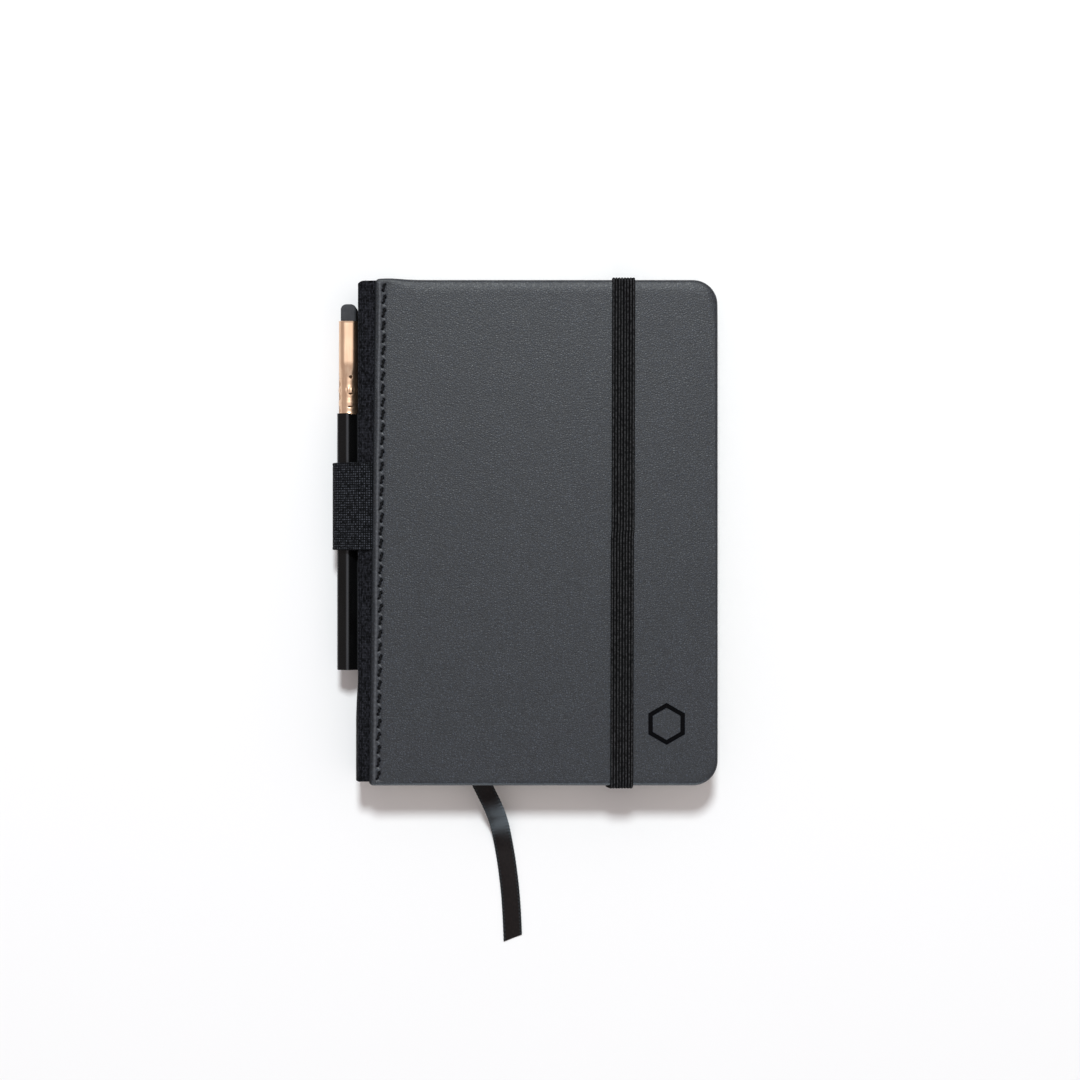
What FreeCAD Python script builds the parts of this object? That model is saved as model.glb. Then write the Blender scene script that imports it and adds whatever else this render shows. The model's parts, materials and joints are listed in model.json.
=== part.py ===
"""Hard-cover pocket notebook with an elastic band, a bookmark ribbon and a pencil in a loop on the spine.

The book lies on its back cover. The origin is the centre of the back cover's outer face, +X points
to the fore edge, +Y to the head and +Z up through the front cover. Lengths are in millimetres.
"""
import FreeCAD, Part
import math
import os

import Sketcher

Vector = FreeCAD.Vector

# Driving dimensions: alias, value, what it is.
DIMENSIONS = [
    ("cover_half", 74.0, "half the height of the covers"),
    ("fore_edge", 52.8, "x of the covers' fore edge"),
    ("spine_face", -52.5, "x of the outside of the spine"),
    ("cover_corner", 7.2, "radius of the covers' fore-edge corners"),
    ("leather_thick", 0.8, "imitation leather"),
    ("leather_corner", 1.2, "radius of the leather's corners beside the spine"),
    ("leather_head_x", -47.4, "x of the front leather's spine-side edge, at the head"),
    ("leather_tail_x", -49.2, "the same edge at the tail"),
    ("leather_back_x", -48.3, "x of the back leather's spine-side edge"),
    ("board_thick", 2.0, "greyboard"),
    ("room_shift", 5.0, "how far the board's room in the leather is shifted past the spine side"),
    ("board_x", -46.9, "x of the boards' spine-side edge"),
    ("paper_thick", 0.15, "endpapers"),
    ("page_half", 71.0, "half the height of the pages"),
    ("page_fore", 49.0, "x of the pages' fore edge"),
    ("page_corner", 6.0, "radius of the pages' fore-edge corners"),
    ("fold_x", -50.15, "x of the folds of the signatures"),
    ("fold_round", 0.4, "rounding of each fold"),
    ("section_thick", 0.96, "one signature of eight leaves"),
    ("half_count", 5, "signatures on each side of the bookmark"),
    ("ribbon_gap", 0.3, "room for the bookmark between two signatures"),
    ("cover_gap", 0.1, "between the leaves and the front cover"),
    ("cloth_thick", 0.3, "spine cloth"),
    ("cloth_head", 73.8, "y of the cloth's head edge"),
    ("cloth_tail", -72.9, "y of the cloth's tail edge"),
    ("cloth_lap_x", -43.0, "x where the cloth ends under the leather"),
    ("joint_sink", 0.5, "how far the cloth sinks in the joint beside the boards"),
    ("joint_x", -51.95, "x where the front cloth starts, at the hinge line"),
    ("hinge_gap", 0.2, "between the spine's top edge and the front cloth"),
    ("spine_round", 0.8, "outside rounding of the cloth at the spine's back edge"),
    ("spine_board_thick", 1.0, "card inside the spine"),
    ("spine_board_half", 71.8, "half the height of that card"),
    ("lining_thick", 0.3, "gauze glued over the folds"),
    ("thread_radius", 0.2, "linen sewing thread"),
    ("thread_gap", 0.05, "between the thread and the folds"),
    ("thread_pitch", 30.0, "between two sewing stations"),
    ("thread_count", 5, "sewing stations"),
    ("stitch_head_x", -45.1, "x of the front stitches at the head"),
    ("stitch_tail_x", -46.8, "x of the front stitches at the tail"),
    ("stitch_back_x", -45.95, "x of the back stitches"),
    ("stitch_pitch", 3.76, "between two stitches"),
    ("stitch_count", 39, "stitches in one row"),
    ("stitch_long", 2.5, "length of one stitch"),
    ("stitch_wide", 0.7, "width of one stitch"),
    ("stitch_lean", 0.5, "how far one end of a stitch stands aside of the other"),
    ("stitch_thick", 0.25, "height of one stitch"),
    ("groove_half", 0.75, "half the width of the sewn groove"),
    ("groove_end", 73.0, "half the length of the sewn groove"),
    ("groove_deep", 0.3, "depth of the sewn groove"),
    ("mark_x", 37.8, "centre of the blind-stamped ring"),
    ("mark_y", -55.9, "centre of the blind-stamped ring"),
    ("mark_outer", 6.0, "corner radius of the ring's outer hexagon"),
    ("mark_inner", 4.6, "corner radius of the ring's inner hexagon"),
    ("mark_deep", 0.25, "depth of the stamped ring"),
    ("strap_x", 25.06, "centre of the elastic band"),
    ("strap_wide", 6.7, "width of the elastic band"),
    ("strap_thick", 0.9, "thickness of the elastic band"),
    ("strap_gap", 0.05, "between the band and what it lies on"),
    ("strap_sunk", 0.05, "how far the band's ends are sunk in the back face"),
    ("slot_y", 61.1, "y of the slots that the band's ends pass through"),
    ("slot_wide", 0.9, "width of those slots"),
    ("tab_y", 48.0, "y where the glued ends stop"),
    ("tab_thick", 0.8, "thickness of the glued ends"),
    ("loop_head", 20.3, "y of the pencil loop's head edge"),
    ("loop_tail", -4.8, "y of the pencil loop's tail edge"),
    ("loop_thick", 0.85, "thickness of the loop's webbing"),
    ("loop_end_x", -48.5, "x where the loop meets the leather"),
    ("loop_gap", 0.05, "between the loop and the cloth"),
    ("loop_bend", 0.9, "inside radius of the loop over the spine's edges"),
    ("loop_bend_x", -51.7, "x of the centre of those bends"),
    ("loop_radius", 3.85, "inside radius of the loop round the pencil"),
    ("pencil_x", -55.9, "x of the pencil's axis"),
    ("pencil_flats", 6.4, "pencil, across its flats"),
    ("pencil_end", -40.5, "y of the pencil's plain end"),
    ("core_radius", 1.1, "graphite core"),
    ("tenon_radius", 2.9, "turned end of the pencil inside the ferrule"),
    ("tenon_end", 45.0, "y of the end of that tenon"),
    ("ferrule_start", 34.9, "y of the ferrule's lower rim"),
    ("ferrule_round", 3.2, "radius of the ferrule's round part"),
    ("ferrule_neck", 45.0, "y where the ferrule starts to flatten"),
    ("ferrule_flat", 50.5, "y where it is fully flat"),
    ("ferrule_end", 62.2, "y of the ferrule's mouth"),
    ("ferrule_half_x", 2.8, "half the ferrule's narrow side"),
    ("ferrule_half_z", 4.5, "half the ferrule's wide side"),
    ("ferrule_corner", 1.5, "corner radius of the flat part"),
    ("ferrule_wall", 0.25, "sheet metal of the ferrule"),
    ("clamp_thick", 0.2, "spring sheet round the eraser"),
    ("clamp_gap", 0.05, "between the clamp and the ferrule"),
    ("clamp_start", 51.6, "y of the clamp's bend"),
    ("clamp_end", 61.0, "y of the clamp's ends"),
    ("clamp_half_z", 3.0, "half the clamp's wide side"),
    ("eraser_half_z", 4.0, "half the eraser's wide side"),
    ("eraser_side_round", 0.6, "rounding of the eraser's long edges"),
    ("eraser_end", 67.8, "y of the eraser's top"),
    ("eraser_round", 0.9, "rounding of the eraser's top"),
    ("ribbon_wide", 5.5, "bookmark ribbon"),
    ("ribbon_thick", 0.2, "bookmark ribbon"),
    ("ribbon_head_x", -46.8, "x of the ribbon where it enters the pages"),
    ("ribbon_tail_x", -18.07, "x of the ribbon where it leaves the pages"),
    ("anchor_y", 50.0, "y of the lower end of the ribbon's glued end"),
]

# Route of the ribbon's free end: out of the pages at the tail, down to the table and along it.
# The first point lies inside the pages, and the solid is trimmed at their tail edge.
RIBBON_ROUTE = [
    (-18.55, -70.03, 8.05),
    (-15.10, -77.00, 8.05),
    (-12.60, -82.40, 6.03),
    (-10.90, -87.40, 2.21),
    (-9.75, -93.03, 0.15),
    (-8.70, -99.60, 0.15),
    (-7.75, -110.60, 0.15),
    (-7.35, -121.50, 0.15),
]
ARC_SHARE = 0.45

# Tolerances of the edge tests, the run of a cut past an open edge, how much less than its half size
# the round section's corner radius is, and the turn that stands a hexagon on a corner.
NEAR = 0.01
ALONG = 0.999
OVERCUT = 1.0
CORNER_SHORT = 0.05
CORNER_UP = 30

# Levels through the book, as expressions of the sheet, from the resting face up.
Z_BOARD = "dims.leather_thick"
Z_PASTE = Z_BOARD + " + dims.board_thick"
Z_FLY = Z_PASTE + " + dims.paper_thick"
Z_PAGES = Z_FLY + " + dims.paper_thick"
Z_RIBBON = Z_PAGES + " + dims.half_count * dims.section_thick"
Z_LEAVES = Z_RIBBON + " + dims.ribbon_gap"
Z_FRONT_FLY = Z_LEAVES + " + dims.half_count * dims.section_thick"
Z_FRONT_PASTE = Z_FRONT_FLY + " + dims.paper_thick + dims.cover_gap"
Z_FRONT_BOARD = Z_FRONT_PASTE + " + dims.paper_thick"
Z_FRONT_LEATHER = Z_FRONT_BOARD + " + dims.board_thick"
Z_TOP = Z_FRONT_LEATHER + " + dims.leather_thick"
Z_MIDDLE = "(" + Z_TOP + ") / 2"

# Levels of the cloth: on a board, and sunk in the joint beside it.
Z_BACK_LAP = Z_BOARD + " - dims.cloth_thick"
Z_BACK_JOINT = Z_BACK_LAP + " + dims.joint_sink"
Z_FRONT_LAP = Z_FRONT_LEATHER + " + dims.cloth_thick"
Z_FRONT_JOINT = Z_FRONT_LAP + " - dims.joint_sink"
Z_SPINE_TOP = Z_FRONT_JOINT + " - dims.cloth_thick - dims.hinge_gap"

# Planes inside the spine, from the outside in.
X_SPINE_BOARD = "dims.spine_face + dims.cloth_thick"
X_SPINE_INSIDE = X_SPINE_BOARD + " + dims.spine_board_thick"
X_THREAD = "dims.fold_x - dims.thread_gap - dims.thread_radius"
X_LINING_INSIDE = X_THREAD + " - dims.thread_radius"
X_LINING = X_LINING_INSIDE + " - dims.lining_thick"

doc = FreeCAD.newDocument("pocket_notebook")
sheet = doc.addObject("Spreadsheet::Sheet", "dims")
for row, (alias, number, meaning) in enumerate(DIMENSIONS, start=1):
    sheet.set(f"A{row}", meaning)
    sheet.set(f"B{row}", str(number))
    sheet.setAlias(f"B{row}", alias)
doc.recompute()

nodes = []


def value(expression):
    """The number that an expression of the sheet stands for."""
    return float(sheet.evalExpression(expression))


# Bodies, sketches and features


def new_body(name):
    body = doc.addObject("PartDesign::Body", name)
    body.Label = name
    nodes.append(body)
    return body


def place_body(body, x="0", z="0"):
    body.setExpression("Placement.Base.x", x)
    body.setExpression("Placement.Base.z", z)


def new_sketch(body, role, level):
    """A sketch parallel to an origin plane of its body, moved along the plane's normal."""
    plane = next(item for item in body.Origin.OriginFeatures if item.Role == role)
    sketch = body.newObject("Sketcher::SketchObject", body.Name + "_sketch")
    sketch.AttachmentSupport = (plane, [""])
    sketch.MapMode = "FlatFace"
    sketch.setExpression(".AttachmentOffset.Base.z", level)
    return sketch


def bind_point(sketch, geometry, point, x, y):
    """Hold one point of a sketch at expressions measured from the sketch's origin."""
    for kind, expression in (("DistanceX", x), ("DistanceY", y)):
        rule = Sketcher.Constraint(kind, -1, 1, geometry, point, value(expression))
        number = sketch.addConstraint(rule)
        sketch.setExpression(f"Constraints[{number}]", expression)


def bind_radius(sketch, geometry, expression):
    number = sketch.addConstraint(Sketcher.Constraint("Radius", geometry, value(expression)))
    sketch.setExpression(f"Constraints[{number}]", expression)


def draw_polygon(sketch, corners):
    """A closed outline of straight lines, with every corner bound to the sheet."""
    points = [Vector(value(x), value(y), 0) for x, y in corners]
    first = sketch.GeometryCount
    count = len(points)
    for index, start in enumerate(points):
        sketch.addGeometry(Part.LineSegment(start, points[(index + 1) % count]), False)
    for index in range(count):
        following = first + (index + 1) % count
        sketch.addConstraint(Sketcher.Constraint("Coincident", first + index, 2, following, 1))
    for index, (x, y) in enumerate(corners):
        bind_point(sketch, first + index, 1, x, y)


def draw_circle(sketch, x, y, radius):
    centre = Vector(value(x), value(y), 0)
    circle = sketch.addGeometry(Part.Circle(centre, Vector(0, 0, 1), value(radius)), False)
    bind_point(sketch, circle, 3, x, y)
    bind_radius(sketch, circle, radius)


def draw_rounded(sketch, half_x, half_y, corner, centre_x="0"):
    """A rectangle with rounded corners, centred on the sketch's horizontal axis."""
    middle = value(centre_x)
    across = value(half_x)
    up = value(half_y)
    radius = value(corner)
    inner_x = across - radius
    inner_y = up - radius
    sides = [
        ((-inner_x, -up), (inner_x, -up)),
        ((across, -inner_y), (across, inner_y)),
        ((inner_x, up), (-inner_x, up)),
        ((-across, inner_y), (-across, -inner_y)),
    ]
    centres = [(inner_x, -inner_y), (inner_x, inner_y), (-inner_x, inner_y), (-inner_x, -inner_y)]
    axis = Vector(0, 0, 1)
    for quarter, (start, end) in enumerate(sides):
        shift = Vector(middle, 0, 0)
        sketch.addGeometry(Part.LineSegment(Vector(*start, 0) + shift, Vector(*end, 0) + shift), False)
        circle = Part.Circle(Vector(*centres[quarter], 0) + shift, axis, radius)
        turn = (quarter - 1) * math.pi / 2
        sketch.addGeometry(Part.ArcOfCircle(circle, turn, turn + math.pi / 2), False)
    for quarter in range(4):
        line = 2 * quarter
        arc = line + 1
        sketch.addConstraint(Sketcher.Constraint("Tangent", line, 2, arc, 1))
        sketch.addConstraint(Sketcher.Constraint("Tangent", arc, 2, (arc + 1) % 8, 1))
        sign_x = "-" if centres[quarter][0] < 0 else "+"
        sign_y = "-" if centres[quarter][1] < 0 else ""
        bind_point(sketch, arc, 3, f"{centre_x} {sign_x} ({half_x} - ({corner}))",
                   f"{sign_y}({half_y} - ({corner}))")
    bind_radius(sketch, 1, corner)


def hexagon(x, y, radius, turn):
    """Corners of a regular hexagon, as expressions."""
    corners = []
    for index in range(6):
        angle = math.radians(60 * index + turn)
        corner_x = f"{x} + {math.cos(angle):.6f} * {radius}"
        corner_y = f"{y} + {math.sin(angle):.6f} * {radius}"
        corners.append((corner_x, corner_y))
    return corners


def rectangle(x_low, y_low, x_high, y_high):
    return [(x_low, y_low), (x_high, y_low), (x_high, y_high), (x_low, y_high)]


def add_pad(body, role, level, length, draw, reverse=False):
    """Extrude a sketch along its plane's normal, or against it."""
    sketch = new_sketch(body, role, level)
    draw(sketch)
    pad = body.newObject("PartDesign::Pad", body.Name + "_pad")
    pad.Profile = sketch
    pad.Reversed = reverse
    pad.setExpression("Length", length)
    doc.recompute()
    return pad


def add_pocket(body, role, level, length, draw):
    """Cut a sketch into the body along its plane's normal, and check that it cuts."""
    before = body.Shape.Volume
    sketch = new_sketch(body, role, level)
    draw(sketch)
    pocket = body.newObject("PartDesign::Pocket", body.Name + "_pocket")
    pocket.Profile = sketch
    pocket.Reversed = True
    pocket.setExpression("Length", length)
    doc.recompute()
    if body.Shape.Volume >= before:
        raise RuntimeError(f"{body.Label}: a pocket cuts nothing")
    return pocket


def add_fillet(body, feature, radius, wanted):
    """Round the edges of the last feature that a test picks."""
    edges = enumerate(feature.Shape.Edges, start=1)
    names = [f"Edge{number}" for number, edge in edges if wanted(edge)]
    if not names:
        raise RuntimeError(f"{body.Label}: no edge to round")
    fillet = body.newObject("PartDesign::Fillet", body.Name + "_fillet")
    fillet.Base = (feature, names)
    fillet.setExpression("Radius", radius)
    doc.recompute()
    return fillet


def add_row(body, feature, pitch, count):
    """Repeat a feature along Y: the pieces are separate solids of one group."""
    axis = next(item for item in body.Origin.OriginFeatures if item.Role == "Y_Axis")
    row_of = body.newObject("PartDesign::LinearPattern", body.Name + "_row")
    row_of.Originals = [feature]
    row_of.Direction = (axis, [""])
    row_of.setExpression("Length", f"{pitch} * ({count} - 1)")
    row_of.setExpression("Occurrences", count)
    body.Tip = row_of
    doc.recompute()


def box_body(name, low, high):
    """A plain box between two corners given as expressions."""
    box = doc.addObject("Part::Box", name)
    box.Label = name
    sizes = ("Length", "Width", "Height")
    for axis, size, start, end in zip("xyz", sizes, low, high):
        box.setExpression(size, f"({end}) - ({start})")
        box.setExpression(f"Placement.Base.{axis}", start)
    nodes.append(box)
    return box


# Tests that pick edges


def is_straight(edge, direction):
    if edge.Curve.TypeId != "Part::GeomLine":
        return False
    return abs(edge.tangentAt(edge.FirstParameter).dot(direction)) > ALONG


def upright_at(x):
    """Edges along Z whose x is near the given one."""
    return lambda edge: is_straight(edge, Vector(0, 0, 1)) and abs(edge.Vertexes[0].X - x) < NEAR


def upright_below(x):
    """Edges along Z on the spine side of the given x."""
    return lambda edge: is_straight(edge, Vector(0, 0, 1)) and edge.Vertexes[0].X < x


def along_y_at(x):
    """Edges along Y whose x is near the given one."""
    return lambda edge: is_straight(edge, Vector(0, 1, 0)) and abs(edge.Vertexes[0].X - x) < NEAR


# Covers


def make_board(name, level, slots=False):
    """A greyboard with rounded fore-edge corners, and slots for the band in the back one."""
    body = new_body(name)
    x_high = "dims.fore_edge - dims.leather_thick"
    y_high = "dims.cover_half - dims.leather_thick"
    outline = rectangle("dims.board_x", f"-({y_high})", x_high, y_high)
    pad = add_pad(body, "XY_Plane", level, "dims.board_thick", lambda sketch: draw_polygon(sketch, outline))
    radius = "dims.cover_corner - dims.leather_thick"
    add_fillet(body, pad, radius, upright_at(value(x_high)))
    if slots:
        for sign in ("", "-"):
            cut_slot(body, sign)


def strap_sides():
    half = "dims.strap_wide / 2"
    return f"dims.strap_x - {half}", f"dims.strap_x + {half}"


def cut_slot(body, sign):
    """A slot through the back board, and the shallow bed of the glued end inside it."""
    x_low, x_high = strap_sides()
    slot = rectangle(x_low, f"{sign}dims.slot_y", x_high, f"{sign}(dims.slot_y + dims.slot_wide)")
    add_pocket(body, "XY_Plane", Z_BOARD, "dims.board_thick", lambda sketch: draw_polygon(sketch, slot))
    bed = rectangle(x_low, f"{sign}dims.tab_y", x_high, f"{sign}dims.slot_y")
    bed_level = f"{Z_PASTE} - dims.tab_thick"
    add_pocket(body, "XY_Plane", bed_level, "dims.tab_thick", lambda sketch: draw_polygon(sketch, bed))


def make_leather(name, front):
    """A panel with its edges turned over the board's fore edge, head and tail."""
    body = new_body(name)
    low = Z_FRONT_BOARD if front else "0"
    lap_level = Z_FRONT_LEATHER if front else Z_BACK_LAP
    head_x = "dims.leather_head_x" if front else "dims.leather_back_x"
    tail_x = "dims.leather_tail_x" if front else "dims.leather_back_x"
    outline = [
        (tail_x, "-dims.cover_half"),
        ("dims.fore_edge", "-dims.cover_half"),
        ("dims.fore_edge", "dims.cover_half"),
        (head_x, "dims.cover_half"),
    ]
    thickness = "dims.board_thick + dims.leather_thick"
    pad = add_pad(body, "XY_Plane", low, thickness, lambda sketch: draw_polygon(sketch, outline))
    corners = add_fillet(body, pad, "dims.cover_corner", upright_at(value("dims.fore_edge")))
    add_fillet(body, corners, "dims.leather_corner", upright_below(0))

    board_high_x = "dims.fore_edge - dims.leather_thick"
    board_high_y = "dims.cover_half - dims.leather_thick"
    board_level = Z_FRONT_BOARD if front else Z_BOARD
    add_pocket(body, "XY_Plane", board_level, "dims.board_thick",
               lambda sketch: draw_rounded(sketch, f"({board_high_x} + dims.room_shift)", board_high_y,
                                           "dims.cover_corner - dims.leather_thick", "-dims.room_shift"))

    lap = rectangle("dims.spine_face", "dims.cloth_tail", "dims.cloth_lap_x", "dims.cloth_head")
    add_pocket(body, "XY_Plane", lap_level, "dims.cloth_thick", lambda sketch: draw_polygon(sketch, lap))
    step = rectangle("dims.spine_face", "dims.cloth_tail", "dims.board_x", "dims.cloth_head")
    add_pocket(body, "XY_Plane", board_level, "dims.board_thick", lambda sketch: draw_polygon(sketch, step))
    cut_groove(body, front)
    if front:
        cut_mark(body)
    else:
        for sign in ("", "-"):
            cut_channel(body, sign)


def cut_groove(body, front):
    """The shallow groove that the stitches lie in."""
    head_x = "dims.stitch_head_x" if front else "dims.stitch_back_x"
    tail_x = "dims.stitch_tail_x" if front else "dims.stitch_back_x"
    level = f"{Z_TOP} - dims.groove_deep" if front else "0"
    groove = [
        (f"{tail_x} - dims.groove_half", "-dims.groove_end"),
        (f"{tail_x} + dims.groove_half", "-dims.groove_end"),
        (f"{head_x} + dims.groove_half", "dims.groove_end"),
        (f"{head_x} - dims.groove_half", "dims.groove_end"),
    ]
    add_pocket(body, "XY_Plane", level, "dims.groove_deep", lambda sketch: draw_polygon(sketch, groove))


def cut_mark(body):
    """A plain blind-stamped hexagonal ring in the lower fore-edge corner."""
    def draw(sketch):
        for corner_radius in ("dims.mark_outer", "dims.mark_inner"):
            draw_polygon(sketch, hexagon("dims.mark_x", "dims.mark_y", corner_radius, CORNER_UP))
    add_pocket(body, "XY_Plane", f"{Z_TOP} - dims.mark_deep", "dims.mark_deep", draw)


def cut_channel(body, sign):
    """The channel that lets the band's end lie flush in the back face."""
    x_low, x_high = strap_sides()
    channel = rectangle(x_low, f"{sign}dims.slot_y", x_high, f"{sign}(dims.cover_half + {OVERCUT})")
    add_pocket(body, "XY_Plane", "0", "dims.leather_thick", lambda sketch: draw_polygon(sketch, channel))


def make_stitching(name, front):
    """A row of slanted stitches, each a separate solid."""
    body = new_body(name)
    low = f"{Z_TOP} - dims.groove_deep" if front else "dims.groove_deep - dims.stitch_thick"
    if front:
        place_body(body, "(dims.stitch_head_x + dims.stitch_tail_x) / 2")
        body.setExpression("Placement.Rotation.Angle",
                           "-atan((dims.stitch_head_x - dims.stitch_tail_x) / (2 * dims.cover_half))")
    else:
        place_body(body, "dims.stitch_back_x")
    first = "-dims.stitch_pitch * (dims.stitch_count - 1) / 2"
    half_long = "dims.stitch_long / 2"
    half_wide = "dims.stitch_wide / 2"
    half_lean = "dims.stitch_lean / 2"
    dash = [
        (f"-{half_lean} - {half_wide}", f"{first} - {half_long}"),
        (f"-{half_lean} + {half_wide}", f"{first} - {half_long}"),
        (f"{half_lean} + {half_wide}", f"{first} + {half_long}"),
        (f"{half_lean} - {half_wide}", f"{first} + {half_long}"),
    ]
    pad = add_pad(body, "XY_Plane", low, "dims.stitch_thick", lambda sketch: draw_polygon(sketch, dash))
    add_row(body, pad, "dims.stitch_pitch", "dims.stitch_count")


# Paper


def make_leaf_block(name, level, thickness, x_low, x_high, half, corner, fold=False):
    """A sheet or a signature with rounded fore-edge corners."""
    body = new_body(name)
    outline = rectangle(x_low, f"-({half})", x_high, half)
    pad = add_pad(body, "XY_Plane", level, thickness, lambda sketch: draw_polygon(sketch, outline))
    rounded = add_fillet(body, pad, corner, upright_at(value(x_high)))
    if fold:
        add_fillet(body, rounded, "dims.fold_round", along_y_at(value(x_low)))


def make_paper():
    edge_x = "dims.fore_edge - dims.leather_thick"
    edge_y = "dims.cover_half - dims.leather_thick"
    edge_corner = "dims.cover_corner - dims.leather_thick"
    for name, level in (("back_pastedown", Z_PASTE), ("front_pastedown", Z_FRONT_PASTE)):
        make_leaf_block(name, level, "dims.paper_thick", "dims.board_x", edge_x, edge_y, edge_corner)
    for name, level in (("back_flyleaf", Z_FLY), ("front_flyleaf", Z_FRONT_FLY)):
        make_leaf_block(name, level, "dims.paper_thick", "dims.fold_x", "dims.page_fore",
                        "dims.page_half", "dims.page_corner")
    per_half = int(value("dims.half_count"))
    for half_name, base in (("leaves", Z_LEAVES), ("block", Z_PAGES)):
        for step in range(per_half):
            number = per_half - step if half_name == "leaves" else 2 * per_half - step
            level = f"{base} + {step} * dims.section_thick"
            make_leaf_block(f"signature_{number:02d}", level, "dims.section_thick", "dims.fold_x",
                            "dims.page_fore", "dims.page_half", "dims.page_corner", fold=True)


# Spine


def make_spine():
    """The cloth over the spine with its back flange, the front flange, and what is inside."""
    cloth_long = "dims.cloth_head - dims.cloth_tail"
    cloth_level = "-dims.cloth_head"
    wall_inside = X_SPINE_BOARD
    joggle_x = "dims.board_x - dims.cloth_thick"
    back = [
        ("dims.cloth_lap_x", Z_BACK_LAP),
        ("dims.cloth_lap_x", Z_BOARD),
        ("dims.board_x", Z_BOARD),
        ("dims.board_x", f"{Z_BACK_JOINT} + dims.cloth_thick"),
        (wall_inside, f"{Z_BACK_JOINT} + dims.cloth_thick"),
        (wall_inside, Z_SPINE_TOP),
        ("dims.spine_face", Z_SPINE_TOP),
        ("dims.spine_face", Z_BACK_JOINT),
        (joggle_x, Z_BACK_JOINT),
        (joggle_x, Z_BACK_LAP),
    ]
    body = new_body("spine_cloth")
    pad = add_pad(body, "XZ_Plane", cloth_level, cloth_long, lambda sketch: draw_polygon(sketch, back))
    low = value(Z_BACK_JOINT)
    outside = value("dims.spine_face")
    add_fillet(body, pad, "dims.spine_round",
               lambda edge: along_y_at(outside)(edge) and abs(edge.Vertexes[0].Z - low) < NEAR)

    front = [
        ("dims.joint_x", f"{Z_FRONT_JOINT} - dims.cloth_thick"),
        ("dims.board_x", f"{Z_FRONT_JOINT} - dims.cloth_thick"),
        ("dims.board_x", Z_FRONT_LEATHER),
        ("dims.cloth_lap_x", Z_FRONT_LEATHER),
        ("dims.cloth_lap_x", Z_FRONT_LAP),
        (joggle_x, Z_FRONT_LAP),
        (joggle_x, Z_FRONT_JOINT),
        ("dims.joint_x", Z_FRONT_JOINT),
    ]
    body = new_body("front_cloth")
    add_pad(body, "XZ_Plane", cloth_level, cloth_long, lambda sketch: draw_polygon(sketch, front))

    box_body("spine_board",
             (X_SPINE_BOARD, "-dims.spine_board_half", f"{Z_BACK_JOINT} + dims.cloth_thick"),
             (X_SPINE_INSIDE, "dims.spine_board_half", Z_SPINE_TOP))
    box_body("spine_lining",
             (X_LINING, "-dims.page_half", Z_FLY),
             (X_LINING_INSIDE, "dims.page_half", Z_FRONT_FLY))

    body = new_body("sewing_thread")
    first = "-dims.thread_pitch * (dims.thread_count - 1) / 2"
    pad = add_pad(body, "XY_Plane", Z_PAGES, f"{Z_FRONT_FLY} - ({Z_PAGES})",
                  lambda sketch: draw_circle(sketch, X_THREAD, first, "dims.thread_radius"))
    add_row(body, pad, "dims.thread_pitch", "dims.thread_count")


# Elastic band


def make_strap():
    """The band over the front cover with its two returns at the head and the tail."""
    x_low = strap_sides()[0]
    inner_y = "dims.cover_half + dims.strap_gap"
    outer_y = f"{inner_y} + dims.strap_thick"
    inner_z = f"{Z_TOP} + dims.strap_gap"
    outer_z = f"{inner_z} + dims.strap_thick"
    arch = [
        (f"-({outer_y})", "dims.strap_sunk"),
        (f"-({inner_y})", "dims.strap_sunk"),
        (f"-({inner_y})", inner_z),
        (inner_y, inner_z),
        (inner_y, "dims.strap_sunk"),
        (outer_y, "dims.strap_sunk"),
        (outer_y, outer_z),
        (f"-({outer_y})", outer_z),
    ]
    body = new_body("elastic_strap")
    add_pad(body, "YZ_Plane", x_low, "dims.strap_wide", lambda sketch: draw_polygon(sketch, arch))


def make_strap_end(name, sign):
    """The band's end: along the back face, through the slot and glued inside the board."""
    edge_y = f"{sign}(dims.cover_half + dims.strap_gap)"
    slot_in = f"{sign}dims.slot_y"
    slot_out = f"{sign}(dims.slot_y + dims.slot_wide)"
    end = [
        (edge_y, "dims.strap_sunk"),
        (edge_y, Z_BOARD),
        (slot_out, Z_BOARD),
        (slot_out, Z_PASTE),
        (f"{sign}dims.tab_y", Z_PASTE),
        (f"{sign}dims.tab_y", f"{Z_PASTE} - dims.tab_thick"),
        (slot_in, f"{Z_PASTE} - dims.tab_thick"),
        (slot_in, "dims.strap_sunk"),
    ]
    body = new_body(name)
    add_pad(body, "YZ_Plane", strap_sides()[0], "dims.strap_wide", lambda sketch: draw_polygon(sketch, end))


# Pencil loop


def loop_centreline():
    """Corner data of the loop's centreline: two bends over the spine's edges, one round the pencil."""
    middle = value(Z_MIDDLE)
    half = value("dims.loop_thick") / 2
    top = value(Z_FRONT_JOINT) + value("dims.loop_gap") + half
    bend = value("dims.loop_bend") + half
    round_pencil = value("dims.loop_radius") + half
    bend_centre = Vector(value("dims.loop_bend_x"), top - bend, 0)
    pencil_centre = Vector(value("dims.pencil_x"), middle, 0)
    towards = pencil_centre - bend_centre
    distance = towards.Length
    towards.normalize()
    outwards = Vector(towards.y, -towards.x, 0)
    cosine = (bend - round_pencil) / distance
    normal = towards * cosine + outwards * math.sqrt(1 - cosine ** 2)
    return top, middle, bend, round_pencil, bend_centre, pencil_centre, normal


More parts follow.
